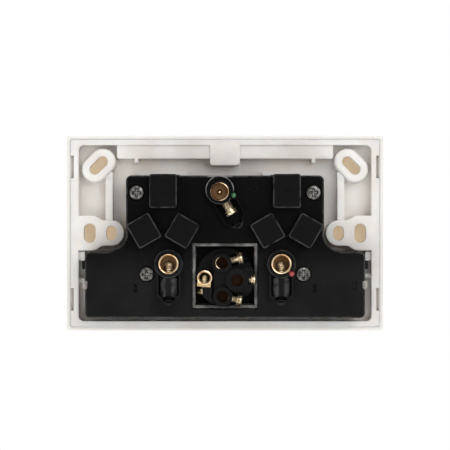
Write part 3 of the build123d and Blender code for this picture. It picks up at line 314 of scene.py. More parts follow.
@dataclass(frozen=True)
class Finish:
    """One finish: two tones that a slow mottle mixes, a roughness range and a fine relief.

    Further tones may lie over them: painted light along an axis (a painted sheen on the housing and painted
    shade over one side of a lip), a tint by depth, which paints shade in the bores and a warm glow in the recesses,
    grime and painted shade around a spot, flecks, and a painted highlight mixed with dust on rounded rear edges,
    paler in a round patch. Light may travel inside, further where the wall is thin.
    """

    REARWARD = (0.5, 0.8)
    GRIME_AND_SHADE_SIZE = 170.0
    GRIME_AND_SHADE_RAMP = (0.35, 0.6)
    GRIME_AND_SHADE_SHARES = (0.5, 0.4, 0.1)

    name: str
    tone: Tone
    second_tone: Tone
    roughness: Pair
    metallic: float = 0.0
    mottle_size: float = 90.0
    grain_size: float = 2400.0
    relief: float = 0.00001
    edge_tone: Tone | None = None
    edge_share: float = 0.0
    edge_levels: Pair = (0.0, 0.0)
    highlight_patch_tone: Tone | None = None
    highlight_patch_spot: Pair = (0.0, 0.0)
    highlight_patch_reach: Pair = (0.0, 0.0)
    fleck_tone: Tone | None = None
    fleck_share: float = 0.0
    depth_tone: Tone | None = None
    depth_levels: Pair = (0.0, 0.0)
    depth_share: float = 1.0
    grime_and_shade_tone: Tone | None = None
    grime_and_shade_spot: Pair = (0.0, 0.0)
    grime_and_shade_reach: Pair = (0.0, 0.0)
    grime_and_shade_levels: Pair = (0.0, 0.0)
    painted_light_tone: Tone | None = None
    painted_light_levels: Pair = (0.0, 0.0)
    painted_light_axis: str = "Z"
    painted_light_least: float = 0.6
    glow_depth: float = 0.0
    glow_share: float = 0.6
    glow_spread: Triple = (1.0, 0.8, 0.6)
    glow_inside: float = 0.0
    shine: float = 0.5

    def material(self, effects: SurfaceEffects) -> Material:
        """Builds the finish as a material on Object coordinates.

        Args:
            effects: the shared node groups.

        Returns:
            The material.
        """
        material = bpy.data.materials.new(self.name)
        build = ShaderBuilder.fresh(material)
        place = build.add("ShaderNodeTexCoord")
        spot, facing = place.outputs["Object"], place.outputs["Normal"]
        skin = build.add(effects.skin, Place=spot, Mottle_Size=self.mottle_size, Grain_Size=self.grain_size)
        mottle = skin.outputs["Mottle"]
        colour = build.blend(mottle, self.tone.linear(), self.second_tone.linear())
        # Painted light along an axis: a painted sheen on the housing, and painted shade over one side of a lip.
        if self.painted_light_tone:
            painted_light_share = build.ramp(build.along(spot, self.painted_light_axis), *self.painted_light_levels)
            patchy = build.math("MULTIPLY_ADD", mottle, 1.0 - self.painted_light_least, self.painted_light_least)
            colour = build.blend(build.math("MULTIPLY", painted_light_share, patchy), colour, self.painted_light_tone.linear())
        # Tint by depth: painted shade in the bores, a painted warm glow in the recesses, a lighter tone on the
        # housing's highest faces.
        if self.depth_tone:
            levels = dict(zip(("Shallow", "Deep"), self.depth_levels))
            depth = build.add(effects.depth, Place=spot, Facing=facing, Facing_Share=1.0 - self.metallic, **levels)
            share = build.math("MULTIPLY", depth.outputs["Depth"], self.depth_share)
            colour = build.blend(share, colour, self.depth_tone.linear())
        # Grime and painted shade on the collar.
        if self.grime_and_shade_tone:
            colour = build.blend(self._grime(build, spot, mottle), colour, self.grime_and_shade_tone.linear())
        if self.fleck_tone:
            flecks = build.add(effects.specks, Place=spot, Fleck_Size=self.grain_size)
            share = build.math("MULTIPLY", flecks.outputs["Fleck"], self.fleck_share)
            colour = build.blend(share, colour, self.fleck_tone.linear())
        # Painted highlight mixed with dust on rounded rear edges above a level, paler in one patch.
        if self.edge_tone:
            edges = build.add(effects.edges, Facing=facing, Place=spot)
            raised = build.math("MULTIPLY", build.ramp(build.along(spot, "Y"), *self.edge_levels), self.edge_share)
            edge = self.edge_tone.linear()
            if self.highlight_patch_tone:
                edge = build.blend(self._rubbed(build, spot), edge, self.highlight_patch_tone.linear())
            colour = build.blend(build.math("MULTIPLY", edges.outputs["Edge"], raised), colour, edge)
        low, high = self.roughness
        rough = build.add("ShaderNodeMapRange", Value=mottle, To_Min=low, To_Max=high)
        bump = build.add("ShaderNodeBump", Height=skin.outputs["Grain"], Distance=self.relief, Strength=1.0)
        surface = build.add(
            "ShaderNodeBsdfPrincipled", Base_Color=colour, Roughness=rough.outputs[0], Normal=bump.outputs["Normal"],
            Metallic=self.metallic, Specular_IOR_Level=self.shine,
        )
        if self.glow_depth:
            surface.inputs["Subsurface Weight"].default_value = self.glow_share
            surface.inputs["Subsurface Radius"].default_value = self.glow_spread
            surface.inputs["Subsurface Scale"].default_value = self.glow_depth
        if self.glow_inside:
            build.put(self._thin_wall(build, spot, facing), surface.inputs["Subsurface Scale"])
        build.add("ShaderNodeOutputMaterial", Surface=surface.outputs["BSDF"])
        return material

    def _thin_wall(self, build: ShaderBuilder, spot: Socket, facing: Socket) -> Socket:
        """How far light travels: further where the inner face of the thin wall looks rearwards.

        Args:
            build: the material's builder.
            spot: the place's socket.
            facing: the normal's socket.

        Returns:
            The distance's socket.
        """
        rear = build.ramp(build.along(facing, "Y"), *self.REARWARD)
        inside = build.math("MULTIPLY", rear, build.ramp(build.along(spot, "Y"), *self.depth_levels))
        return build.math("MULTIPLY_ADD", inside, self.glow_inside, self.glow_depth)

    def _rubbed(self, build: ShaderBuilder, spot: Socket) -> Socket:
        """1 within a round patch, where the painted edge highlight is paler, seen from the rear, and 0 outside it.

        Args:
            build: the material's builder.
            spot: the place's socket.

        Returns:
            The patch's share.
        """
        split = build.add("ShaderNodeSeparateXYZ", Vector=spot)
        across = build.math("SUBTRACT", split.outputs["X"], self.highlight_patch_spot[0])
        upward = build.math("SUBTRACT", split.outputs["Z"], self.highlight_patch_spot[1])
        return build.ramp(build.distance(across, upward), self.highlight_patch_reach[1], self.highlight_patch_reach[0])

    def _grime(self, build: ShaderBuilder, spot: Socket, mottle: Socket) -> Socket:
        """Grime and painted shade inside a square around one spot, seen from the rear, and only above a level.

        The distance is the larger of the distances across and up, so that the patch has the collar's outline.

        Args:
            build: the material's builder.
            spot: the place's socket.
            mottle: the slow mottle's socket.

        Returns:
            The share of grime and painted shade, from 0 to 1.
        """
        split = build.add("ShaderNodeSeparateXYZ", Vector=spot)
        across = build.math("ABSOLUTE", build.math("SUBTRACT", split.outputs["X"], self.grime_and_shade_spot[0]))
        upward = build.math("ABSOLUTE", build.math("SUBTRACT", split.outputs["Z"], self.grime_and_shade_spot[1]))
        inside = build.ramp(build.math("MAXIMUM", across, upward), self.grime_and_shade_reach[1], self.grime_and_shade_reach[0])
        streaky, plain, mottled = self.GRIME_AND_SHADE_SHARES
        streak = build.ramp(build.noise(spot, self.GRIME_AND_SHADE_SIZE, 4.0), *self.GRIME_AND_SHADE_RAMP)
        patchy = build.math("MULTIPLY_ADD", streak, streaky, plain)
        raised = build.math("MULTIPLY", inside, build.ramp(split.outputs["Y"], *self.grime_and_shade_levels))
        return build.math("MULTIPLY", raised, build.math("MULTIPLY_ADD", mottle, mottled, patchy))


class Finishes(Enum):
    """All finishes of the socket."""

    WHITE_PLASTIC = Finish(
        "white_plastic", Tone.PLATE_WHITE, Tone.PLATE_SHADE, (0.34, 0.46), mottle_size=60.0, glow_depth=2.5 * MM,
        shine=0.3,
    )
    # Carrier: a painted warm glow deep in the recesses, and grime and painted shade on the collar.
    CARRIER_PLASTIC = replace(
        WHITE_PLASTIC, name="carrier_plastic", glow_inside=14.0 * MM, depth_tone=Tone.RECESS_TAN,
        depth_levels=(-6.0 * MM, -8.0 * MM), grime_and_shade_tone=Tone.COLLAR_GRIME, grime_and_shade_spot=(0.0, 16.1 * MM),
        grime_and_shade_reach=(12.6 * MM, 13.0 * MM), grime_and_shade_levels=(0.0, 3.0 * MM),
    )
    # Cover: a painted warm glow on its inner faces deep in the recesses.
    COVER_PLASTIC = Finish(
        "cover_plastic", Tone.COVER_WHITE, Tone.COVER_SHADE, (0.34, 0.46), mottle_size=60.0, glow_depth=1.4 * MM,
        glow_share=1.0, glow_spread=(1.0, 0.98, 0.96), glow_inside=6.8 * MM, depth_tone=Tone.RECESS_TAN,
        depth_levels=(-6.0 * MM, -8.0 * MM), shine=0.08,
    )
    # Black plastic: a painted highlight mixed with dust on rounded rear edges, paler round the earth tower, and a
    # painted sheen towards +Z.
    BLACK_PLASTIC = Finish(
        "black_plastic", Tone.HOUSING_BLACK, Tone.HOUSING_DEEP, (0.34, 0.5), mottle_size=70.0, relief=0.00002,
        edge_tone=Tone.HOUSING_DUST, edge_share=0.75, edge_levels=(10.9 * MM, 11.3 * MM), highlight_patch_tone=Tone.RUBBED_GREY,
        highlight_patch_spot=(-1.5 * MM, -18.2 * MM), highlight_patch_reach=(4.6 * MM, 7.4 * MM), fleck_tone=Tone.HOUSING_DUST,
        fleck_share=0.3, depth_tone=Tone.HOUSING_TOP, depth_levels=(16.6 * MM, 17.9 * MM),
        painted_light_tone=Tone.HOUSING_HAZE, painted_light_levels=(2.0 * MM, 16.0 * MM), shine=0.04,
    )
    FUNNEL_PLASTIC = Finish(
        "funnel_plastic", Tone.HOUSING_BLACK, Tone.HOUSING_DEEP, (0.3, 0.45), mottle_size=70.0, shine=0.08
    )
    # Painted shade on the brass deep in the bores.
    BRASS = Finish(
        "brass", Tone.BRASS_BRIGHT, Tone.BRASS_DULL, (0.2, 0.34), metallic=1.0, mottle_size=260.0, grain_size=5200.0,
        depth_tone=Tone.BRASS_DEEP, depth_levels=(16.0 * MM, 14.2 * MM), depth_share=0.9,
    )
    SMALL_BRASS = replace(
        BRASS, name="small_brass", depth_tone=Tone.BRASS_SHADE, depth_levels=(10.6 * MM, 9.8 * MM), depth_share=1.0
    )
    LIP_BRASS = Finish(
        "lip_brass", Tone.BRASS_LIP, Tone.BRASS_LIP_DULL, (0.14, 0.3), metallic=1.0, mottle_size=330.0,
        grain_size=5200.0,
    )
    # Painted shade over the left side of the earth lip.
    EARTH_LIP_BRASS = replace(
        LIP_BRASS, name="earth_lip_brass", painted_light_tone=Tone.BRASS_DEEP, painted_light_levels=(-0.6 * MM, -2.4 * MM),
        painted_light_axis="X", painted_light_least=0.92,
    )
    WAY_LIP_BRASS = replace(
        LIP_BRASS, name="way_lip_brass", painted_light_tone=Tone.BRASS_SHADE, painted_light_levels=(-2.6 * MM, -1.6 * MM),
        painted_light_axis="X", painted_light_least=0.97,
    )
    # The common terminal's brass is painted in dark shade tones all over, for the shade in its deep bore.
    COMMON_BRASS = Finish(
        "common_brass", Tone.BRASS_SHADE, Tone.BRASS_DARK, (0.2, 0.34), metallic=1.0, mottle_size=260.0,
        grain_size=5200.0,
    )
    CONTACT_BRASS = Finish(
        "contact_brass", Tone.BRASS_DULL, Tone.BRASS_BRIGHT, (0.28, 0.42), metallic=1.0, mottle_size=200.0,
    )
    SCREW_BRASS = Finish(
        "screw_brass", Tone.SCREW_BRASS, Tone.SCREW_TARNISH, (0.2, 0.34), metallic=0.75, mottle_size=700.0,
        grain_size=6000.0,
    )
    PLATED_STEEL = Finish(
        "plated_steel", Tone.STEEL_BRIGHT, Tone.STEEL_DULL, (0.26, 0.5), metallic=1.0, mottle_size=1100.0,
        grain_size=5200.0, relief=0.00003,
    )
    SPRING_STEEL = Finish("spring_steel", Tone.STEEL_DULL, Tone.STEEL_BRIGHT, (0.25, 0.4), metallic=1.0)
    PLUNGER_PLASTIC = Finish("plunger_plastic", Tone.PLUNGER_CREAM, Tone.PLATE_SHADE, (0.4, 0.55))
    GREEN_PAINT = Finish("green_paint", Tone.EARTH_GREEN, Tone.EARTH_GREEN_DARK, (0.3, 0.5), mottle_size=700.0)
    RED_PAINT = Finish("red_paint", Tone.ACTIVE_RED, Tone.ACTIVE_RED_DARK, (0.3, 0.5), mottle_size=700.0)


OWN_FINISH = {
    "cover_plate": "cover_plastic",
    "grid_plate": "carrier_plastic",
    "common_terminal": "common_brass",
    "lower_way_terminal": "small_brass",
    "upper_way_terminal": "small_brass",
    "loop_terminal": "small_brass",
}


def to_scene(name: str, data: bpy.types.ID) -> Piece:
    """Puts a mesh, a lamp or a camera into the scene, at the origin."""
    piece = bpy.data.objects.new(name, data)
    bpy.context.scene.collection.objects.link(piece)
    return piece


class MeshMaker:
    """Turns grids of points into closed meshes, smooth but for edges past an angle in degrees."""

    CREASE = 40.0

    @classmethod
    def place(cls, name: str, points: np.ndarray, faces: list[list[int]]) -> Piece:
        """Puts a closed mesh into the scene with its faces outwards.

        Args:
            name: the object's name.
            points: vertices, one row each, in metres.
            faces: vertex numbers of each face.

        Returns:
            The object, at the origin.
        """
        corner, second, third, last = (points[[face[index] for face in faces]] for index in (0, 1, 2, -1))
        volume = np.einsum("ij,ij->", corner, np.cross(second, third) + np.cross(third, last))
        if volume < 0:
            faces = [face[::-1] for face in faces]
        mesh = bpy.data.meshes.new(name)
        mesh.from_pydata(points.tolist(), [], faces)
        mesh.shade_smooth()
        mesh.set_sharp_from_angle(angle=math.radians(cls.CREASE))
        return to_scene(name, mesh)

    @classmethod
    def lathe(cls, name: str, rings: np.ndarray, start: np.ndarray, end: np.ndarray) -> Piece:
        """Joins rings of points into a skin and closes it with a fan at each end.

        Args:
            name: the object's name.
            rings: points with shape (rings, columns, 3).
            start: the pole before the first ring.
            end: the pole after the last ring.

        Returns:
            The object.
        """
        count, columns, _ = rings.shape
        number = np.arange(count * columns).reshape(count, columns) + 1
        right = np.roll(number, -1, axis=1)
        quads = np.stack([number[:-1], right[:-1], right[1:], number[1:]], axis=-1).reshape(-1, 4)
        pole = np.full(columns, count * columns + 1)
        first = np.stack([np.zeros(columns, int), right[0], number[0]], axis=-1)
        last = np.stack([pole, number[-1], right[-1]], axis=-1)
        points = np.concatenate([start[None], rings.reshape(-1, 3), end[None]])
        return cls.place(name, points, quads.tolist() + first.tolist() + last.tolist())

    @staticmethod
    def around(columns: int) -> np.ndarray:
        """Angles of the columns of one full turn."""
        return np.linspace(0.0, 2 * np.pi, columns, endpoint=False)

    @classmethod
    def turned(cls, radius: np.ndarray, level: np.ndarray, middle: Pair, columns: int) -> np.ndarray:
        """Turns a profile about an axis that runs rearwards.

        Each ring is the circle (middle across + radius * cos a, level, middle up + radius * sin a).

        Args:
            radius: the profile's radii, one for each ring, or a row of them for each ring.
            level: its levels rearwards.
            middle: the axis, across and up the plate.
            columns: points around the axis.

        Returns:
            Points with shape (rings, columns, 3).
        """
        turn = cls.around(columns)[None]
        radius = radius.reshape(level.size, -1)
        east = middle[0] + radius * np.cos(turn)
        north = middle[1] + radius * np.sin(turn)
        return np.stack([east, np.broadcast_to(level[:, None], east.shape), north], axis=-1)

    @classmethod
    def dome(cls, name: str, rim: np.ndarray, levels: Pair, middle: Pair, rows: int) -> Piece:
        """A low dome that looks rearwards.

        Each ring has the radius rim * cos b at the level foot + rise * sin b, with b from 0 up to a right angle.

        Args:
            name: the object's name.
            rim: the rim's radius at each column.
            levels: its foot and its peak.
            middle: its axis, across and up the plate.
            rows: rings between the rim and the peak.

        Returns:
            The object.
        """
        bend = np.linspace(0.0, 0.5 * np.pi, rows + 1)[:-1]
        foot, peak = levels
        rings = cls.turned(np.cos(bend)[:, None] * rim, foot + (peak - foot) * np.sin(bend), middle, rim.size)
        return cls.lathe(name, rings, *(np.array([middle[0], level, middle[1]]) for level in levels))

    @classmethod
    def hoop(cls, name: str, rings: np.ndarray) -> Piece:
        """Joins rings of points into a skin that is closed around and across.

        Args:
            name: the object's name.
            rings: points with shape (rings, columns, 3).

        Returns:
            The object.
        """
        count, columns, _ = rings.shape
        number = np.arange(count * columns).reshape(count, columns)
        right = np.roll(number, -1, axis=1)
        quads = np.stack([number, right, np.roll(right, -1, axis=0), np.roll(number, -1, axis=0)], axis=-1)
        return cls.place(name, rings.reshape(-1, 3), quads.reshape(-1, 4).tolist())

    @classmethod
    def tube(cls, name: str, path: np.ndarray, radius: float, columns: int) -> Piece:
        """A round wire along a path, with flat ends.

        Each ring is the circle centre + radius * (cos a * side + sin a * up), square to the path.

        Args:
            name: the object's name.
            path: points along the wire, one row each.
            radius: the wire's radius.
            columns: points around the wire.

        Returns:
            The object.
        """
        along = np.gradient(path, axis=0)
        along /= np.linalg.norm(along, axis=1, keepdims=True)
        side = np.cross(along, np.array([0.0, 1.0, 0.0]))
        side /= np.linalg.norm(side, axis=1, keepdims=True)
        up = np.cross(side, along)
        turn = cls.around(columns)[None, :, None]
        rings = path[:, None] + radius * (np.cos(turn) * side[:, None] + np.sin(turn) * up[:, None])
        return cls.lathe(name, rings, path[0], path[-1])


@dataclass
class ScrewSizes:
    """A screw as measured on its solid: where it lies and how large it is."""

    tip: np.ndarray
    along: np.ndarray
    length: float
    head_height: float
    shank: float
    head: float


@dataclass(frozen=True)
class ThreadedScrew:
    """A cross-slot screw with a rolled thread, laid on the axis of its solid."""

    pitch: float = 0.7 * MM
    thread_depth: float = 0.2 * MM
    columns: int = 64
    rows_per_turn: int = 12
    slot_share: float = 0.62
    slot_width: float = 0.34
    slot_depth: float = 0.5
    groove: float = 0.0
    tip_share: float = 0.62
    rounding_share: float = 0.42
    rounding_rows: int = 7
    crown_share: float = 0.08
    crown_start: float = 0.9
    middle_share: float = 0.03
    top_rows: int = 30
    under_share: float = 0.97
    flank_levels: tuple[float, ...] = (0.0, 0.04, 0.16, 0.24, 0.42, 0.5)
    arm_spread: float = 1.25
    arm_slope: float = 0.5
    arm_run: float = 0.18

    def build(self, name: str, size: ScrewSizes) -> Piece:
        """Makes the screw's skin.

        The thread is radius = crest - depth * |2 * frac(height / pitch - turn) - 1|, fading out at both ends. The
        head's top is a low dome less a cross whose arms grow shallow outwards, and its flank may have a groove.

        Args:
            name: the object's name.
            size: the measured screw.

        Returns:
            The object.
        """
        turn = np.linspace(0.0, 1.0, self.columns, endpoint=False)
        rows = int(self.rows_per_turn * size.length / self.pitch)
        height = np.linspace(0.0, size.length, rows)[:, None]
        phase = np.mod(height / self.pitch - turn[None], 1.0)
        fade = np.clip(np.minimum(height, size.length - height) / self.pitch, 0.0, 1.0)
        crest = size.shank - self.thread_depth * (1.0 - fade) * 0.5
        radius = crest - self.thread_depth * fade * np.abs(2.0 * phase - 1.0)
        lead = np.clip(height / self.pitch, 0.0, 1.0)
        radius = radius * (self.tip_share + (1.0 - self.tip_share) * lead)
        shank = self._ring(radius, np.broadcast_to(height, radius.shape), turn)
        rings = np.concatenate([shank, self._head(size, turn)])
        peak = np.array([0.0, 0.0, size.length + size.head_height - self.slot_depth * size.head_height])
        side = np.cross(size.along, np.array([0.0, 1.0, 0.0]))
        if np.linalg.norm(side) < 0.5:
            side = np.cross(size.along, np.array([1.0, 0.0, 0.0]))
        side /= np.linalg.norm(side)
        axes = np.stack([side, np.cross(size.along, side), size.along])
        placed = rings @ axes + size.tip
        return MeshMaker.lathe(name, placed, size.tip, peak @ axes + size.tip)

    def _head(self, size: ScrewSizes, turn: np.ndarray) -> np.ndarray:
        """Rings of the head from its underside to its middle.

        Args:
            size: the measured screw.
            turn: turns of the columns, from 0 to 1.

        Returns:
            Points with shape (rings, columns, 3).
        """
        bend = np.linspace(0.0, 0.5 * np.pi, self.rounding_rows)
        rounding = self.rounding_share * size.head_height
        side_r = size.head - rounding * (1.0 - np.cos(bend))
        side_h = size.head_height - rounding * (1.0 - np.sin(bend))
        inner = np.linspace(side_r[-1], self.middle_share * size.head, self.top_rows)[1:]
        crown = self.crown_share * size.head_height
        flank_r = size.head * np.array([self.under_share, 1.0, 1.0, 1.0 - self.groove, 1.0 - self.groove, 1.0])
        flank_h = size.head_height * np.array(self.flank_levels)
        profile_r = np.concatenate([[size.shank], flank_r, side_r, inner])
        top = np.concatenate([[0.0], flank_h, side_h, np.full(inner.shape, size.head_height)])
        top -= np.where(top > self.crown_start * size.head_height, crown * (profile_r / size.head) ** 2, 0.0)
        radius = np.broadcast_to(profile_r[:, None], (profile_r.size, turn.size))
        rise = np.broadcast_to(top[:, None], radius.shape).copy()
        east = radius * np.cos(2 * np.pi * turn)
        north = radius * np.sin(2 * np.pi * turn)
        arm = np.maximum(self._arm(east, north, size.head), self._arm(north, east, size.head))
        on_top = (np.arange(profile_r.size) >= profile_r.size - inner.size)[:, None]
        rise -= np.where(on_top, arm * self.slot_depth * size.head_height, 0.0)
        return self._ring(radius, size.length + rise, turn)

    def _arm(self, reach: np.ndarray, aside: np.ndarray, head: float) -> np.ndarray:
        """Depth share of one arm of the cross.

        Args:
            reach: distance along the arm.
            aside: distance across the arm.
            head: the head's radius.

        Returns:
            0 outside the arm, up to 1 at its middle.
        """
        half = 0.5 * self.slot_width * head
        across = np.clip((half * self.arm_spread - np.abs(aside)) / (self.arm_slope * half), 0.0, 1.0)
        outward = np.clip((self.slot_share * head - np.abs(reach)) / (self.arm_run * head), 0.0, 1.0)
        return across * outward

    @staticmethod
    def _ring(radius: np.ndarray, height: np.ndarray, turn: np.ndarray) -> np.ndarray:
        """Points of rings around +Z."""
        angle = 2 * np.pi * turn[None]
        return np.stack([radius * np.cos(angle), radius * np.sin(angle), height], axis=-1)


class SolidReader:
    """Reads places and sizes from the frame's solids."""

    HEAD_SHARE = 0.97
    HEAD_CLEAR = 0.1 * MM

    @staticmethod
    def points(node: str) -> np.ndarray:
        """Vertices of a node, one row each."""
        mesh = frame["nodes"][node].data
        flat = np.empty(len(mesh.vertices) * 3)
        mesh.vertices.foreach_get("co", flat)
        return flat.reshape(-1, 3)

    @classmethod
    def screw(cls, points: np.ndarray, along: np.ndarray) -> ScrewSizes:
        """Measures a screw.

        The axis runs through the middle of the points' spread across it; the head is where the radius is largest.

        Args:
            points: the screw's vertices.
            along: unit direction from its tip to its head.

        Returns:
            Its place and sizes.
        """
        height = points @ along
        flat = points - height[:, None] * along
        middle = 0.5 * (flat.min(axis=0) + flat.max(axis=0))
        middle -= (middle @ along) * along
        radius = np.linalg.norm(flat - middle, axis=1)
        low, high = height.min(), height.max()
        head = radius.max()
        head_start = height[radius > cls.HEAD_SHARE * head].min()
        shank = radius[height < head_start - cls.HEAD_CLEAR].max()
        return ScrewSizes(middle + low * along, along, head_start - low, high - head_start, shank, head)

    @staticmethod
    def mouth(terminal: str) -> Triple:
        """The middle of a wire bore's mouth.

        Args:
            terminal: the terminal's short name.

        Returns:
            Its place across, rearwards and up.
        """
        mounts = {mount["name"]: mount["pos_m"] for mount in frame["record"]["mounts"]}
        across, _, upward = mounts[f"{terminal}_wire"]
        return across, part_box(f"{terminal}_terminal")[1][1], upward

    @staticmethod
    def loose_parts(points: np.ndarray) -> list[np.ndarray]:
        """Splits four fasteners by the sign of X and by the gap in Z.

        Args:
            points: all vertices.

        Returns:
            One array of vertices for each fastener.
        """
        level = points[:, 2] > 0.5 * (points[:, 2].min() + points[:, 2].max())
        right = points[:, 0] > 0
        return [points[(level == high) & (right == east)] for high in (False, True) for east in (False, True)]


@dataclass
class Trim:
    """Pieces that the scene makes, with the materials by name."""

    materials: dict[str, Material]

    def build(self) -> None:
        """Makes the pieces; each kind of trim has its own way."""
        raise NotImplementedError

    def settle(self, piece: Piece, finish: str, slot: str, body: str = "plate", node: str | None = None) -> None:
        """Gives a new piece its finish and its body, and reports it.

        Args:
            piece: the new piece.
            finish: its material's name.
            slot: its material slot; not used.
            body: the body that carries it.
            node: the solid that it stands for, if any.
        """
        piece.data.materials.append(self.materials[finish])
        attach(piece, body)
        if node:
            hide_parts(node)
        LOG.info("%s rides on %s", piece.name, body)


@dataclass
class ClampScrews(Trim):
    """The seven screws that clamp the wires."""

    thread: ThreadedScrew = ThreadedScrew(groove=0.2)

    def build(self) -> None:
        """Replaces each plain screw by a threaded one on the same axis."""
        for joint in frame["joints"]:
            if joint["type"] != "slide":
                continue
            node = joint["child"]
            along = -np.array(joint["axis"], float)
            size = SolidReader.screw(SolidReader.points(node), along / np.linalg.norm(along))
            piece = self.thread.build(f"{node}_threaded", size)
            self.settle(piece, "screw_brass", "brass", node, node)


@dataclass(frozen=True)
class LipSizes:
    """A lip's outer and inner radius, the radius of its seat in the mouth and its rise past the barrel."""

    outer: float
    inner: float
    seat: float
    rise: float


@dataclass
class TerminalLips(Trim):
    """Rounded lips around the mouths of the wire bores that show their metal."""

    main: LipSizes = LipSizes(outer=3.55 * MM, inner=2.85 * MM, seat=3.18 * MM, rise=0.2 * MM)
    earth: LipSizes = LipSizes(outer=3.28 * MM, inner=2.88 * MM, seat=3.18 * MM, rise=0.05 * MM)
    small: LipSizes = LipSizes(outer=2.7 * MM, inner=1.9 * MM, seat=2.23 * MM, rise=0.15 * MM)
    way: LipSizes = LipSizes(outer=2.22 * MM, inner=1.98 * MM, seat=2.12 * MM, rise=0.03 * MM)
    tail: float = 0.3 * MM
    bend_rows: int = 12
    columns: int = 96

    def build(self) -> None:
        """Lays a lip into each mouth."""
        plain = "lip_brass"
        choices = {
            "earth": (self.earth, "earth_lip_brass"),
            "neutral": (self.main, plain),
            "active": (self.main, plain),
            "loop": (self.small, plain),
            "lower_way": (self.way, "way_lip_brass"),
        }
        for terminal, (size, finish) in choices.items():
            across, rear, upward = SolidReader.mouth(terminal)
            piece = MeshMaker.hoop(f"{terminal}_lip", self._rings(size, across, rear, upward))
            self.settle(piece, finish, "brass")

    def _rings(self, size: LipSizes, across: float, rear: float, upward: float) -> np.ndarray:
        """Rings of a lip around the bore's axis.

        The skin is a quarter circle from the outer edge, where it looks rearwards, to the inner edge, where it looks
        at the axis; below that come a short straight tail and the seat in the mouth.

        Args:
            size: the lip's sizes.
            across: the bore's place across the plate.
            rear: the level of the barrel's end.
            upward: the bore's place up the plate.

        Returns:
            Points with shape (rings, columns, 3).
        """
        bend = np.linspace(0.0, 0.5 * np.pi, self.bend_rows)
        span = size.outer - size.inner
        top = rear + size.rise
        foot = top - span - self.tail
        radius = np.concatenate([size.outer - span * np.sin(bend), [size.inner, size.seat, size.seat, size.outer]])
        level = np.concatenate([top - span * (1.0 - np.cos(bend)), [foot, foot, rear, rear]])
        return MeshMaker.turned(radius, level, (across, upward), self.columns)


@dataclass
class EarthFunnel(Trim):
    """The black cone that leads a wire into the earth terminal."""

    inner: float = 3.3 * MM
    outer: float = 3.88 * MM
    lift: float = 0.03 * MM
    height: float = 0.27 * MM
    columns: int = 96

    def build(self) -> None:
        """Lays the cone over the end of the barrel.

        Its cut is a triangle: a flat foot on the barrel, a wall along the collar and a slope between them.
        """
        across, rear, upward = SolidReader.mouth("earth")
        radius = np.array([self.inner, self.outer, self.outer])
        level = rear + np.array([self.lift, self.lift, self.height])
        piece = MeshMaker.hoop("earth_funnel", MeshMaker.turned(radius, level, (across, upward), self.columns))
        self.settle(piece, "funnel_plastic", "black_plastic")


@dataclass
class BoreRivets(Trim):
    """The riveted studs at the bottom of the wire bores."""

    radius: float = 1.05 * MM
    rise: float = 0.75 * MM
    rows: int = 8
    columns: int = 32
    depth: float = 6.75 * MM

    def build(self) -> None:
        """Sets a low dome on the bottom of each bore."""
        rim = np.full(self.columns, self.radius)
        for terminal in ("earth", "neutral", "active"):
            across, rear, upward = SolidReader.mouth(terminal)
            levels = (rear - self.depth, rear - self.depth + self.rise)
            piece = MeshMaker.dome(f"{terminal}_rivet", rim, levels, (across, upward), self.rows)
            self.settle(piece, "lip_brass", "brass")


@dataclass
class HousingScrews(Trim):
    """The four screws that hold the housing."""

    thread: ThreadedScrew = ThreadedScrew(pitch=1.1 * MM, thread_depth=0.3 * MM, slot_depth=0.32)
    node: str = "housing_screws"

    def build(self) -> None:
        """Replaces the plain group by threaded screws."""
        along = np.array([0.0, 1.0, 0.0])
        for number, points in enumerate(SolidReader.loose_parts(SolidReader.points(self.node)), 1):
            piece = self.thread.build(f"housing_screw_{number}", SolidReader.screw(points, along))
            self.settle(piece, "plated_steel", "plated_steel", node=self.node)


@dataclass
class CoilSprings(Trim):
    """The coil springs behind the plungers."""

    wire: float = 0.19 * MM
    turns: float = 6.5
    rows_per_turn: int = 22
    columns: int = 8

    def build(self) -> None:
        """Replaces each plain sleeve by a coil of its size, tilted with its rocker.

        The wire's path is a helix: a circle of the sleeve's mean radius that climbs evenly along its axis.
        """
        for joint in frame["joints"]:
            if not joint["name"].endswith("rocker_tilt"):
                continue
            body = joint["child"]
            node = body.replace("rocker", "spring")
            points = SolidReader.points(node)
            pivot = np.array(joint["pos_m"])
            along = points.mean(axis=0) - pivot
            along[0] = 0.0
            along /= np.linalg.norm(along)
            height = (points - pivot) @ along
            radius = 0.5 * np.ptp(points[:, 0]) - self.wire
            turn = np.linspace(0.0, self.turns, int(self.turns * self.rows_per_turn))
            climb = np.linspace(height.min() + self.wire, height.max() - self.wire, turn.size)
            side = np.array([1.0, 0.0, 0.0])
            up = np.cross(along, side)
            angle = 2 * np.pi * turn[:, None]
            path = pivot + climb[:, None] * along + radius * (np.cos(angle) * side + np.sin(angle) * up)
            piece = MeshMaker.tube(f"{node}_coil", path, self.wire, self.columns)
            self.settle(piece, "spring_steel", "spring_steel", body, node)


@dataclass
class PaintMarks(Trim):
    """The dabs of paint beside the earth and active terminals."""

    columns: int = 40
    rows: int = 9
    rim_share: float = 0.93
    wide_wave: float = 0.05
    wide_count: int = 2
    fine_wave: float = 0.02
    fine_count: int = 5

    def build(self) -> None:
        """Replaces each plain dome by an uneven dab.

        The dab's rim is the dome's radius times a share a little under 1, plus a wide and a fine wave around it.
        """
        turn = MeshMaker.around(self.columns)
        for node, slot, start in (("earth_mark", "green_paint", 0.0), ("active_mark", "red_paint", 1.7)):
            low, high = (np.array(corner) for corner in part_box(node))
            across, _, upward = 0.5 * (low + high)
            wide = self.wide_wave * np.sin(self.wide_count * turn + start)
            fine = self.fine_wave * np.cos(self.fine_count * turn)
            rim = 0.5 * (high[0] - low[0]) * (self.rim_share + (wide + fine))
            piece = MeshMaker.dome(f"{node}_dab", rim, (low[1], high[1]), (across, upward), self.rows)
            self.settle(piece, slot, slot, node=node)


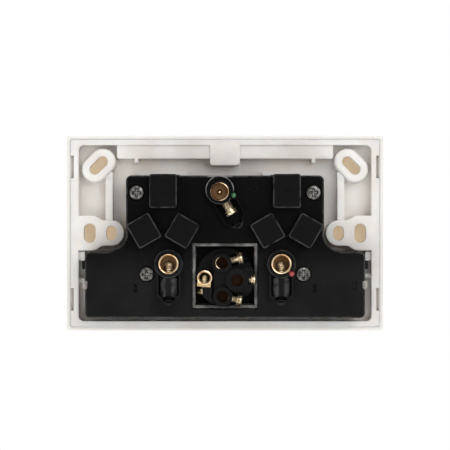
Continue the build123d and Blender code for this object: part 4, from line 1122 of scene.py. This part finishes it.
@dataclass
class RimJoint(Trim):
    """The shallow bottom of the joint between the cover's wall and the carrier's rim."""

    half: Pair = (57.14 * MM, 34.64 * MM)
    width: float = 0.22 * MM
    top: float = -0.42 * MM
    height: float = 0.5 * MM
    outer_round: float = 0.3 * MM
    inner_round: float = 2.1 * MM
    corner_rows: int = 12

    def build(self) -> None:
        """Lays a thin frame into the joint: a rectangle carried along a rounded rectangle."""
        outer = self._outline(0.5 * self.width, self.outer_round)
        inner = self._outline(-0.5 * self.width, self.inner_round)
        foot = self.top - self.height
        cut = ((outer, self.top), (outer, foot), (inner, foot), (inner, self.top))
        rings = np.stack([np.insert(line, 1, level, axis=1) for line, level in cut])
        self.settle(MeshMaker.hoop("rim_joint", rings), "white_plastic", "white_plastic")

    def _outline(self, grow: float, radius: float) -> np.ndarray:
        """A rounded rectangle around the plate's middle.

        Each corner is the arc (corner's middle + radius * (cos a, sin a)) over a quarter turn.

        Args:
            grow: how far it lies outside the joint's middle line.
            radius: the corners' radius.

        Returns:
            Points across and up the plate, one row each.
        """
        quarter = 0.5 * np.pi * np.arange(4)[:, None]
        turn = quarter + np.linspace(0.0, 0.5 * np.pi, self.corner_rows)[None]
        reach = np.array(self.half) + grow - radius
        east = reach[0] * np.sign(np.cos(quarter + 0.25 * np.pi)) + radius * np.cos(turn)
        north = reach[1] * np.sign(np.sin(quarter + 0.25 * np.pi)) + radius * np.sin(turn)
        return np.stack([east.ravel(), north.ravel()], axis=-1)


@dataclass
class RibTops(Trim):
    """The ends of the carrier's two ribs that run into the corner bosses."""

    middle: float = 42.9 * MM
    width: float = 2.58 * MM
    levels: Pair = (-7.0 * MM, -0.81 * MM)
    ends: Pair = (-22.6 * MM, -20.0 * MM)

    def build(self) -> None:
        """Lengthens each rib by a block: one rectangle carried along the rib."""
        across = 0.5 * self.width * np.array([-1.0, 1.0, 1.0, -1.0])
        level = np.array(self.levels)[[0, 0, 1, 1]]
        for name, side in (("left_rib_top", -1.0), ("right_rib_top", 1.0)):
            east = side * self.middle + across
            rings = np.stack([np.stack([east, level, np.full(4, end)], axis=-1) for end in self.ends])
            piece = MeshMaker.lathe(name, rings, rings[0].mean(axis=0), rings[1].mean(axis=0))
            self.settle(piece, "white_plastic", "white_plastic")


@dataclass(frozen=True)
class Lamp:
    """A square soft lamp: its name, place, edge length and power in watts."""

    name: str
    place: Triple
    size: float
    power: float

    def build(self) -> None:
        """Puts the lamp into the scene, aimed at the socket."""
        data = bpy.data.lights.new(self.name, "AREA")
        data.size = self.size
        data.energy = self.power
        lamp = to_scene(self.name, data)
        lamp.location = self.place
        lamp.rotation_euler = Vector(self.place).to_track_quat("Z", "Y").to_euler()


@dataclass
class Studio:
    """Camera, lamps, floor and white surround."""

    camera_distance: float = 560.0 * MM
    camera_height: float = -3.0 * MM
    field_width: float = 166.4 * MM
    sensor: float = 36.0
    floor_level: float = -156.0 * MM
    floor_size: float = 440.0 * MM
    floor_fade: Pair = (90.0 * MM, 200.0 * MM)
    ambient: float = 0.63
    lamps: tuple[Lamp, ...] = (
        Lamp("key_lamp", (0.36, 0.88, -0.3), 0.55, 3.1),
        Lamp("fill_lamp", (-0.3, 0.8, 0.5), 0.7, 2.9),
        Lamp("front_lamp", (0.05, -0.85, 0.3), 0.6, 3.0),
    )

    def build(self) -> None:
        """Sets the whole stage."""
        bpy.context.scene.view_settings.view_transform = "Standard"
        self._camera()
        for lamp in self.lamps:
            lamp.build()
        self._floor()
        self._surround()

    def _camera(self) -> None:
        """Camera square on to the rear, held upside down as the photograph was taken."""
        data = bpy.data.cameras.new("camera")
        data.sensor_width = self.sensor
        data.lens = self.sensor * self.camera_distance / self.field_width
        camera = to_scene("camera", data)
        camera.location = (0.0, self.camera_distance, self.camera_height)
        camera.rotation_euler = (-0.5 * math.pi, 0.0, 0.0)
        bpy.context.scene.camera = camera

    @staticmethod
    def _seen_directly(build: ShaderBuilder) -> Socket:
        """1 for rays from the camera, mirrors and glass.

        Args:
            build: the builder of the material or world.

        Returns:
            The mask's socket.
        """
        path = build.add("ShaderNodeLightPath")
        straight = build.math("MAXIMUM", path.outputs["Is Camera Ray"], path.outputs["Is Glossy Ray"])
        return build.math("MAXIMUM", straight, path.outputs["Is Transmission Ray"])

    def _floor(self) -> None:
        """A pale floor below the socket that keeps its shadow."""
        half = 0.5 * self.floor_size
        corners = ((-half, -half), (half, -half), (half, half), (-half, half))
        points = [(*corner, self.floor_level) for corner in corners]
        mesh = bpy.data.meshes.new("floor")
        mesh.from_pydata(points, [], [(0, 1, 2, 3)])
        mesh.materials.append(self._floor_finish())
        to_scene("floor", mesh)

    def _floor_finish(self) -> Material:
        """White floor that fades into the surround away from its middle.

        Returns:
            The material.
        """
        material = bpy.data.materials.new("floor")
        build = ShaderBuilder.fresh(material)
        white = Tone.STUDIO_WHITE.linear()
        matt = build.add("ShaderNodeBsdfDiffuse", Color=white).outputs[0]
        bright = build.add("ShaderNodeEmission", Color=white, Strength=1.0).outputs[0]
        place = build.add("ShaderNodeSeparateXYZ", Vector=build.add("ShaderNodeTexCoord").outputs["Object"])
        fading = build.ramp(build.distance(place.outputs["X"], place.outputs["Y"]), *self.floor_fade)
        share = build.math("MULTIPLY", fading, self._seen_directly(build))
        build.add("ShaderNodeOutputMaterial", Surface=build.blend(share, matt, bright, shaders=True))
        return material

    def _surround(self) -> None:
        """White where the camera looks past the socket, softer as light on it."""
        world = bpy.data.worlds.new("surround")
        bpy.context.scene.world = world
        build = ShaderBuilder.fresh(world)
        white = Tone.STUDIO_WHITE.linear()
        light = build.add("ShaderNodeBackground", Color=white, Strength=self.ambient).outputs[0]
        seen = build.add("ShaderNodeBackground", Color=white, Strength=1.0).outputs[0]
        mixture = build.blend(self._seen_directly(build), light, seen, shaders=True)
        build.add("ShaderNodeOutputWorld", Surface=mixture)


def dress_solids(materials: dict[str, Material]) -> None:
    """Gives every solid of the frame its finish.

    Args:
        materials: the materials by name, of which most have the name of a slot.
    """
    slots = {entry["node"]: entry["material_slot"] for entry in frame["record"]["subparts"]}
    for node, solid in frame["nodes"].items():
        solid.data.materials.clear()
        solid.data.materials.append(materials[OWN_FINISH.get(node, slots[node])])


def write_sizes() -> None:
    """Updates the view layer."""
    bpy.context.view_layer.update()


def main() -> None:
    """Builds the socket's looks around the frame."""
    logging.basicConfig(level=logging.INFO)
    effects = SurfaceEffects()
    materials = {finish.value.name: finish.value.material(effects) for finish in Finishes}
    dress_solids(materials)
    for kind in (
        ClampScrews, TerminalLips, EarthFunnel, BoreRivets, HousingScrews, CoilSprings, PaintMarks, RimJoint, RibTops
    ):
        kind(materials).build()
    Studio().build()
    write_sizes()


if __name__ == "__main__":
    main()
